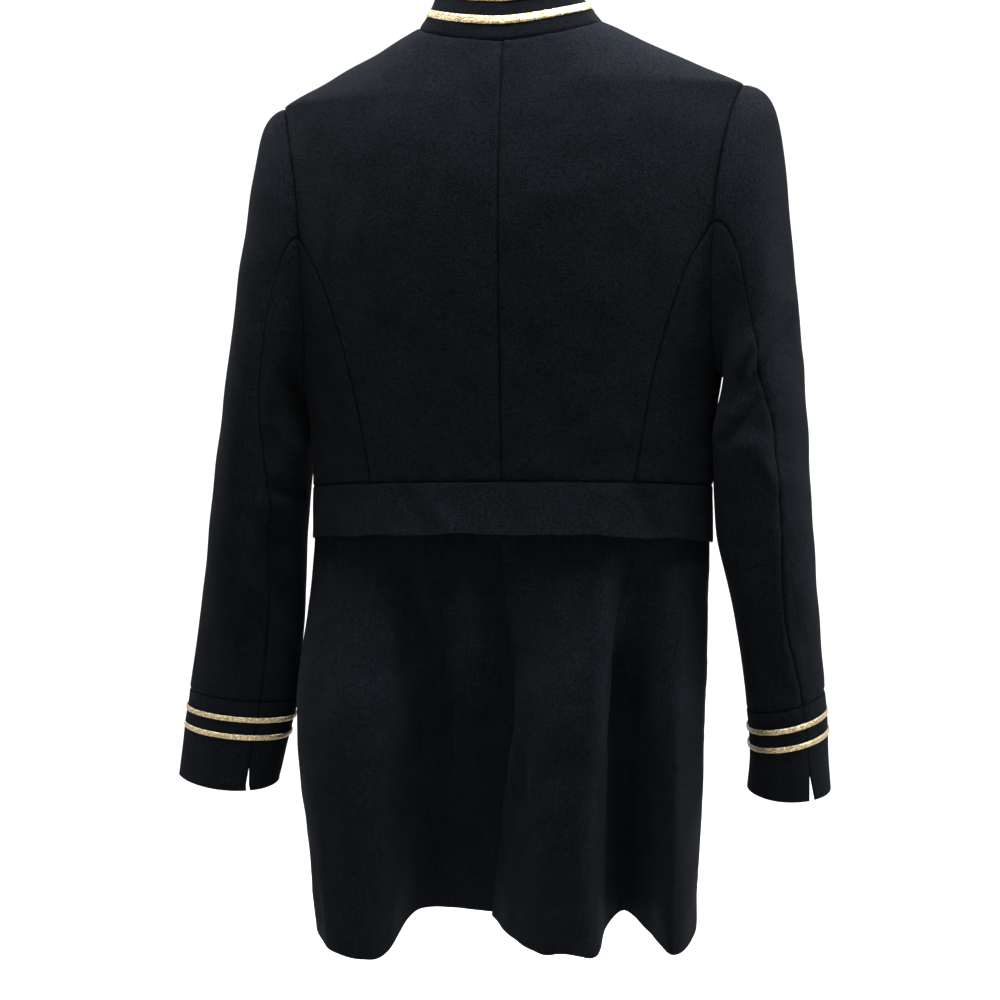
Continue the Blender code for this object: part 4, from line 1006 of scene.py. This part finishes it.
SKIRT_CREASES = table("face x drop to_x to_drop width push", [
    (-1, -152, 640, -146, 772, 7, 2.0),
    (-1, -72, 404, -84, 756, 15, -5.0),
    (-1, 102, 410, 92, 752, 13, -5.0),
    (-1, -118, 420, -126, 700, 20, 1.2),
    (-1, -150, 430, -160, 640, 16, -1.2),
    (-1, -27, 398, -26, 640, 9, 6.0),
    (-1, -6, 400, 0, 640, 8, -4.5),
    (-1, -56, 396, -62, 610, 12, -7.5),
    (-1, 84, 396, 89, 610, 10, 4.5),
    (-1, 110, 396, 108, 600, 11, -9.0),
    (-1, 140, 396, 142, 610, 12, 4.0),
    (-1, 14, 585, 26, 650, 7, -3.4),
    (-1, 8, 575, 16, 640, 5, 2.6),
    (-1, 40, 440, 46, 700, 18, 1.2),
    (-1, 62, 560, 56, 760, 12, -1.3),
    (-1, 146, 430, 140, 740, 10, 1.2),
    (-1, 160, 420, 158, 700, 8, -1.2),
    (1, -110, 420, -112, 720, 16, -1.6),
    (1, 60, 430, 64, 720, 16, -1.5),
    (1, -40, 440, -30, 700, 14, 1.5),
    (1, 130, 430, 128, 700, 12, 1.4),
])


def spline(values, at):
    """A smooth curve through evenly numbered values."""
    last = len(values) - 1
    at = np.clip(at, 0, last)
    i = np.minimum(at.astype(int), last - 1)
    t = at - i
    padded = np.concatenate([[2 * values[0] - values[1]], values, [2 * values[-1] - values[-2]]])
    a, b, c, d = (padded[i + k] for k in range(4))
    return b + t * ((c - a) + t * ((2 * a - 5 * b + 4 * c - d) + t * (3 * (b - c) + d - a))) / 2


def skirt_point(rows, at, share):
    """A point of a skirt panel: at counts the panel's lines, share runs from waist to hem."""
    angle = spline(rows["waist"], at)
    top_drop = waist_drop(angle)
    top = body_point(angle, top_drop) - SKIRT_INSET * normal(body_point, angle, top_drop)
    mid = np.stack([spline(rows["mid_x"], at), spline(rows["mid_y"], at)], axis=-1)
    hem = np.stack([spline(rows["hem_x"], at), spline(rows["hem_y"], at)], axis=-1)
    rate = (hem - top[..., :2]) / 2
    upper = np.clip(share * 2, 0, 1)[..., None]
    lower = np.clip(share * 2 - 1, 0, 1)[..., None]
    start = top[..., :2] + (mid - top[..., :2]) * upper ** 3 * (4 - 3 * upper)
    start = start - rate * upper ** 3 * (1 - upper)
    end = mid + (hem - mid) * lower ** 2 * (3 - 2 * lower) + rate * lower * (1 - lower) ** 2
    end = end - (hem - mid) * lower ** 2 * (1 - lower)
    plan = np.where(share[..., None] < 0.5, start, end)
    drop = top_drop + (spline(rows["hem_drop"], at) - top_drop) * share
    z = NECK_HEIGHT - drop + smooth(BODY, "tilt", drop) * plan[..., 0]
    return np.concatenate([plan, z[..., None]], axis=-1)


def skirt_out(rows, at, share):
    """The skirt's outward direction, which both panels share at the side seam."""
    below = skirt_point(rows, at, np.minimum(share + 0.01, 1))
    fall = below - skirt_point(rows, at, np.maximum(share - 0.01, 0))
    along = skirt_point(rows, at + 0.05, share) - skirt_point(rows, at - 0.05, share)
    out = unit(np.cross(fall, along))
    fall = unit(fall)
    sideways = unit(np.array((1.0, 0.0, 0.0)) - fall * fall[..., :1]) * np.sign(out[..., :1])
    from_side_seam = np.abs(spline(rows["waist"], at)) - 90
    near = np.exp(-(from_side_seam / SIDE_NEAR) ** 2)[..., None]
    return unit(out * (1 - near) + sideways * near)


def skirt_wall(name, rows, lines, side, seams, lap, seed):
    """A skirt panel with its folds, its turned hem and, if it has one, its lap under the other."""
    at = lines * marks(SKIRT_WIDTH, 2.7)[None, :]
    share = marks(SKIRT_LENGTH, 2.9)[:, None]
    at, share = np.broadcast_arrays(at, share)
    points = skirt_point(rows, at, share)
    out = skirt_out(rows, at, share) * side
    above_hem = (1 - share) * SKIRT_LENGTH
    hem_print = HEM_EDGE * np.exp(-((above_hem - HEM_TURN) / HEM_EDGE_HALF) ** 2)
    hem_print = hem_print + HEM_STEP * (above_hem < HEM_TURN)
    fade = np.clip(share / FLUTE_START, 0, 1)
    points = points + out * (fold_push(points, out, SKIRT_CREASES) * fade + hem_print)[..., None]
    points[-1, :, 2] += HEM_UNEVEN * wander(points[-1], 30, seed)
    if lap:
        behind = np.array((0, LAP_BACK, 0)) * np.clip(at - LAP_LINE, 0, 1)[..., None]
        vent = (VENT_TOP - WAIST_DROP) / (rows["hem_drop"][-1] - WAIST_DROP)
        opened = np.clip((share[:, :1] - vent) / VENT_WIDENS, 0, 1)
        width = SEAM_LAP + (UNDERLAP - SEAM_LAP) * opened
        points = points + behind
        reach = np.linspace(0, 1, 13)[1:]
        under = points[:, -1:] + np.array(LAP_WAY) * (width * reach)[..., None]
        points = np.concatenate([points, under], axis=1)
        out = np.concatenate([out, np.repeat(out[:, -1:], len(reach), axis=1)], axis=1)
    outer, inner, cut = tailor(points, out, WALL, seams, unevenness=0.9, seed=seed)
    free = [edge for edge in ("bottom", "left", "right") if edge not in seams]
    piece = add_wall(f"{name}_wool", outer, inner, cut, (wool, lining), soft_edges=free, bulge=0.6)
    sew_in(piece, name)


def front_rows(side, back_rows, edge):
    """The front skirt's lines for one side: they start on the back skirt's last line."""
    rows = dict(SKIRT_FRONT)
    rows["waist"] = rows["waist"] * side
    for column in ("mid_x", "hem_x"):
        rows[column] = rows[column] * back_rows[column][edge] / rows[column][0]
    for column in ("mid_x", "mid_y", "hem_x", "hem_y", "hem_drop"):
        rows[column] = np.concatenate([[back_rows[column][edge]], rows[column][1:]])
    return rows


skirt_wall("skirt_back_right", SKIRT_BACK_RIGHT, 10, 1, ("top", "right"), False, 51)
skirt_wall("skirt_back_left", SKIRT_BACK_LEFT, 9, 1, ("top", "left"), True, 53)
for side, word, back_rows, edge in ((1, "right", SKIRT_BACK_RIGHT, -1),
                                    (-1, "left", SKIRT_BACK_LEFT, 0)):
    skirt_wall(f"skirt_front_{word}", front_rows(side, back_rows, edge), 6, side,
               ("top", "left", "right"), False, 57 + side)


# The waist flap: a narrow band of double wool, caught in the waist seam and free below, that covers
# the skirts' gathered tops. Its free edge waves a little where it hangs over the flutes.
FLAP_BACK = 43.0            # its depth at the centre back
FLAP_SIDE = 47.0
FLAP_WALL = 1.7
FLAP_WAVE = 1.1
FLAP_START = 0.3            # its creases fade in over this share of its depth
FLAP_EDGE = table("drop width back front square", [(0, 178, 64, 78, 2.45), (1, 178.5, 78, 92, 2.4)])
FLAP_CREASES = table("face x drop to_x to_drop width push", [
    (-1, -84, 362, -62, 420, 8, -3.6),
    (-1, -58, 372, -44, 416, 6, 1.4),
    (-1, 108, 362, 132, 420, 8, -3.8),
    (-1, 138, 372, 150, 420, 6, 1.2),
    (-1, 10, 366, 2, 414, 9, -1.0),
    (-1, -140, 366, -132, 420, 9, -1.2),
    (1, -90, 376, -70, 440, 9, -2.0),
    (1, 84, 376, 104, 440, 9, -2.2),
])


def flap_point(angle, share):
    """A point of the waist flap: share runs from the waist seam to the free edge."""
    turn = np.radians(angle)
    square = 2 / smooth(FLAP_EDGE, "square", share)
    x = smooth(FLAP_EDGE, "width", share) * power(np.sin(turn), square)
    x = x * np.where(x < 0, 1 + FULLER, 1 - FULLER)
    back = -smooth(FLAP_EDGE, "back", share) * power(np.cos(turn), square)
    front = -smooth(FLAP_EDGE, "front", share) * power(np.cos(turn), square)
    y = np.where(np.cos(turn) > 0, back, front)
    depth = FLAP_BACK + (FLAP_SIDE - FLAP_BACK) * np.clip(1 - np.cos(turn), 0, 1)
    drop = waist_drop(angle) + depth * share
    z = NECK_HEIGHT - drop + smooth(BODY, "tilt", drop) * x
    return np.stack([x, y, z], axis=-1)


for name, first, last, width, flat, area, seed in (
        ("waist_flap_back", -90, 90, 400, (0.410, 0.048), 0.0185, 61),
        ("waist_flap_front_right", 90, 180, 205, (0.215, 0.050), 0.0100, 63),
        ("waist_flap_front_left", -180, -90, 205, (0.215, 0.050), 0.0100, 65)):
    angle, share = np.broadcast_arrays(first + (last - first) * marks(width, 1.8)[None, :],
                                       marks(45, 1.8)[:, None])
    out = normal(flap_point, angle, share, step_down=0.01, low=0.0)
    points = flap_point(angle, share)
    edge_wave = FLAP_WAVE * wander(points, 42, seed) * share ** 2
    fade = np.clip(share / FLAP_START, 0, 1)
    points = points + out * (fold_push(points, out, FLAP_CREASES) * fade)[..., None]
    points[..., 2] += edge_wave
    outer, inner, cut = tailor(points, out, FLAP_WALL, ("top", "left", "right"), roll=0.5,
                               unevenness=0.5, seed=seed)
    piece = add_wall(f"{name}_wool", outer, inner, cut, (wool, lining), soft_edges=("bottom",),
                     bulge=0.6)
    sew_in(piece, name)


# The braids' stitching: small yellow stitches along both edges of each braid hold it to the cloth.
# A 0.2 mm thread is drawn 0.36 mm thick, and a stitch is 1.7 mm long with 1 mm between them.
STITCH_LENGTH = 1.7
STITCH_STEP = 2.7
STITCH_THICK = 0.36
STITCH_HEIGHT = 0.62        # how high it lies over the braid's back

# Waxed cotton thread: matt and a little darker than the braid.
TWIST = 0.002               # the spacing of its lighter and darker places
thread_look, tree, shader = new_material("yellow_cotton_thread", Roughness=0.75, Sheen_Weight=0.1)
place = add_node(tree, "ShaderNodeTexCoord")
tone = add_node(tree, "ShaderNodeTexNoise", {"Vector": place.outputs["Object"], "Scale": 1 / TWIST})
shade = add_node(tree, "ShaderNodeMix", {0: tone.outputs["Fac"], 6: linear("#7a6434"),
                                         7: linear("#a68a4e")}, data_type="RGBA")
tree.links.new(shade.outputs[2], shader.inputs["Base Color"])

stitching = bpy.data.node_groups.new("edge_stitches", "GeometryNodeTree")
for way in ("INPUT", "OUTPUT"):
    stitching.interface.new_socket("Geometry", in_out=way, socket_type="NodeSocketGeometry")
stitch_inputs = {}          # each input's size, by the socket's identifier
for name, size in (("Step", STITCH_STEP), ("Length", STITCH_LENGTH), ("Thickness", STITCH_THICK)):
    socket = stitching.interface.new_socket(name, in_out="INPUT", socket_type="NodeSocketFloat")
    stitch_inputs[socket.identifier] = size * METRE
given = add_node(stitching, "NodeGroupInput")
line = add_node(stitching, "GeometryNodeMeshToCurve", {"Mesh": given.outputs["Geometry"]})
spots = add_node(stitching, "GeometryNodeCurveToPoints", {
    "Curve": line.outputs["Curve"], "Length": given.outputs["Step"]}, mode="LENGTH")
half_thick = add_node(stitching, "ShaderNodeMath", {0: given.outputs["Thickness"], 1: 0.5},
                      operation="MULTIPLY")
core = add_node(stitching, "GeometryNodeMeshUVSphere", {
    "Segments": 5, "Rings": 4, "Radius": half_thick.outputs[0]})
longer = add_node(stitching, "ShaderNodeMath", {
    0: given.outputs["Length"], 1: given.outputs["Thickness"]}, operation="DIVIDE")
along = add_node(stitching, "ShaderNodeCombineXYZ", {"X": 1.0, "Y": 1.0, "Z": longer.outputs[0]})
placed = add_node(stitching, "GeometryNodeInstanceOnPoints", {
    "Points": spots.outputs["Points"], "Instance": core.outputs["Mesh"],
    "Rotation": spots.outputs["Rotation"], "Scale": along.outputs["Vector"]})
real = add_node(stitching, "GeometryNodeRealizeInstances", {
    "Geometry": placed.outputs["Instances"]})
dyed = add_node(stitching, "GeometryNodeSetMaterial", {"Geometry": real.outputs["Geometry"],
                                                       "Material": thread_look})
add_node(stitching, "NodeGroupOutput", {"Geometry": dyed.outputs["Geometry"]})


def stitch(name, lines):
    """One mesh of stitches along polylines of points."""
    points = np.concatenate(lines)
    starts = np.cumsum([0] + [len(line) for line in lines])
    edges = [(i, i + 1) for first, last in zip(starts, starts[1:]) for i in range(first, last - 1)]
    guide_mesh = bpy.data.meshes.new(name)
    guide_mesh.from_pydata((points * METRE).tolist(), edges, [])
    guide = bpy.data.objects.new(f"{name}_guide", guide_mesh)
    bpy.context.scene.collection.objects.link(guide)
    modifier = guide.modifiers.new("stitches", "NODES")
    modifier.node_group = stitching
    for identifier, size in stitch_inputs.items():
        modifier[identifier] = size
    depsgraph = bpy.context.evaluated_depsgraph_get()
    mesh = bpy.data.meshes.new_from_object(guide.evaluated_get(depsgraph))
    mesh.shade_smooth()
    bpy.data.objects.remove(guide, do_unlink=True)
    piece = bpy.data.objects.new(name, mesh)
    bpy.context.scene.collection.objects.link(piece)
    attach(piece, "root")


for braid, (points, out) in braid_strips.items():
    raised = points + out * (LAY + STITCH_HEIGHT)
    stitch(braid.replace("braid", "braid_stitches"), [raised[1, 2:-2], raised[-2, 2:-2]])


# The hanger: a shaped bar of varnished beech that the shoulders rest on, with a bent steel hook.
# Both are the solid's own meshes in their real finishes.
# Varnished beech: pale brown with short dark flecks along the grain, and a satin coat.
GRAIN = (22.0, 420.0, 420.0)    # flecks to the metre, along the bar and across it
beech, tree, shader = new_material("varnished_beech", Roughness=0.42, Coat_Weight=0.35,
                                   Coat_Roughness=0.2)
place = add_node(tree, "ShaderNodeTexCoord")
grain_space = add_node(tree, "ShaderNodeMapping", {"Vector": place.outputs["Object"],
                                                   "Scale": GRAIN})
grain = add_node(tree, "ShaderNodeTexNoise", {
    "Vector": grain_space.outputs["Vector"], "Scale": 1.0, "Detail": 5.0, "Roughness": 0.6})
rings = add_node(tree, "ShaderNodeMix", {0: grain.outputs["Fac"], 6: linear("#8a5a34"),
                                         7: linear("#c69a6a")}, data_type="RGBA")
tree.links.new(rings.outputs[2], shader.inputs["Base Color"])
pores = add_node(tree, "ShaderNodeBump", {"Height": grain.outputs["Fac"], "Strength": 0.12,
                                          "Distance": 0.0003})
tree.links.new(pores.outputs["Normal"], shader.inputs["Normal"])

# Nickel-plated steel wire: bright, with fine drawing marks along it.
DRAWING = 0.0012            # the spacing of the marks
steel, tree, shader = new_material("nickel_plated_wire", Base_Color=linear("#c3c5c6"),
                                   Metallic=1.0)
place = add_node(tree, "ShaderNodeTexCoord")
drawn = add_node(tree, "ShaderNodeTexNoise", {
    "Vector": place.outputs["Object"], "Scale": 1 / DRAWING, "Detail": 3.0})
wear = add_node(tree, "ShaderNodeMapRange", {"Value": drawn.outputs["Fac"], "To Min": 0.16,
                                             "To Max": 0.34})
tree.links.new(wear.outputs["Result"], shader.inputs["Roughness"])
for node, look in (("hanger_bar", beech), ("hanger_hook", steel)):
    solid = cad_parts[node]
    solid.data.materials.clear()
    solid.data.materials.append(look)


# The studio: a pale bowl that rounds up from the floor, far from the coat, one soft light over it
# and a weaker one at each side, and the camera where the photographer stood, a little to the right
# of the coat's middle.
FLOOR = -1.5
FLAT_RADIUS = 3.0           # the floor is flat up to here
BOWL_ROUND = 2.0            # and rounds up into the wall over this
BOWL_TOP = 3.6
paper, tree, shader = new_material("matt_white_paper", Base_Color=linear("#f6f5f3"), Roughness=0.95,
                                   Specular_IOR_Level=0.1)
turns = np.radians(np.arange(0, 360, 5))
profile = [(0.0, 0.0), (FLAT_RADIUS / 2, 0.0), (FLAT_RADIUS, 0.0)]
profile += [(FLAT_RADIUS + BOWL_ROUND * math.sin(a), BOWL_ROUND * (1 - math.cos(a)))
            for a in np.radians(range(10, 91, 10))]
profile += [(FLAT_RADIUS + BOWL_ROUND, BOWL_TOP)]
bowl_points = [(0.0, 0.0, FLOOR)]
bowl_points += [(r * math.cos(a), r * math.sin(a), FLOOR + h)
                for r, h in profile[1:] for a in turns]
bowl_faces = [(0, 1 + k, 1 + (k + 1) % len(turns)) for k in range(len(turns))]
for ring in range(len(profile) - 2):
    low = 1 + ring * len(turns)
    for k in range(len(turns)):
        following = (k + 1) % len(turns)
        bowl_faces.append((low + k, low + len(turns) + k,
                           low + len(turns) + following, low + following))
bowl_mesh = bpy.data.meshes.new("studio_bowl")
bowl_mesh.from_pydata(bowl_points, [], bowl_faces)
bowl_mesh.materials.append(paper)
bowl_mesh.shade_smooth()
bowl = bpy.data.objects.new("studio_bowl", bowl_mesh)
bpy.context.scene.collection.objects.link(bowl)

world = bpy.data.worlds.new("soft_room")
world.use_nodes = True
world.node_tree.nodes["Background"].inputs["Color"].default_value = linear("#f4f6fa")
world.node_tree.nodes["Background"].inputs["Strength"].default_value = 1.02
bpy.context.scene.world = world
bpy.context.scene.view_settings.view_transform = "Standard"


LIT_PLACE = (0.0, 0.0, -0.3)        # the middle of the coat's back, which the lights face
LIGHT_COLOUR = "#fbfbff"


def add_softbox(name, place, size, power_watts):
    """A square area light that faces the coat."""
    light = bpy.data.lights.new(name, "AREA")
    light.size = size
    light.energy = power_watts
    light.color = linear(LIGHT_COLOUR)[:3]
    lamp = bpy.data.objects.new(name, light)
    lamp.location = place
    lamp.rotation_euler = (Vector(LIT_PLACE) - Vector(place)).to_track_quat("-Z", "Y").to_euler()
    bpy.context.scene.collection.objects.link(lamp)


add_softbox("ceiling_light", (0.06, -0.12, 0.62), 0.75, 98.0)
add_softbox("right_light", (1.4, 0.0, 0.2), 0.6, 70.0)
add_softbox("left_light", (-1.4, 0.0, 0.2), 0.6, 35.0)

CAMERA_PLACE = (0.2139, -1.2823, -0.381)
CAMERA_TURN = 10.0          # degrees, towards +X
CAMERA_DOWN = 5.8
FOCAL_PIXELS = 1477.0
PICTURE_PIXELS = 1000.0     # the picture's width
SENSOR = 36.0
camera_data = bpy.data.cameras.new("camera")
camera_data.sensor_width = SENSOR
camera_data.lens = SENSOR * FOCAL_PIXELS / PICTURE_PIXELS
camera = bpy.data.objects.new("camera", camera_data)
turn = Matrix.Rotation(math.radians(CAMERA_TURN), 4, "Z")
tilt = Matrix.Rotation(math.radians(90 - CAMERA_DOWN), 4, "X")
camera.matrix_world = Matrix.Translation(CAMERA_PLACE) @ turn @ tilt
bpy.context.scene.collection.objects.link(camera)
bpy.context.scene.camera = camera
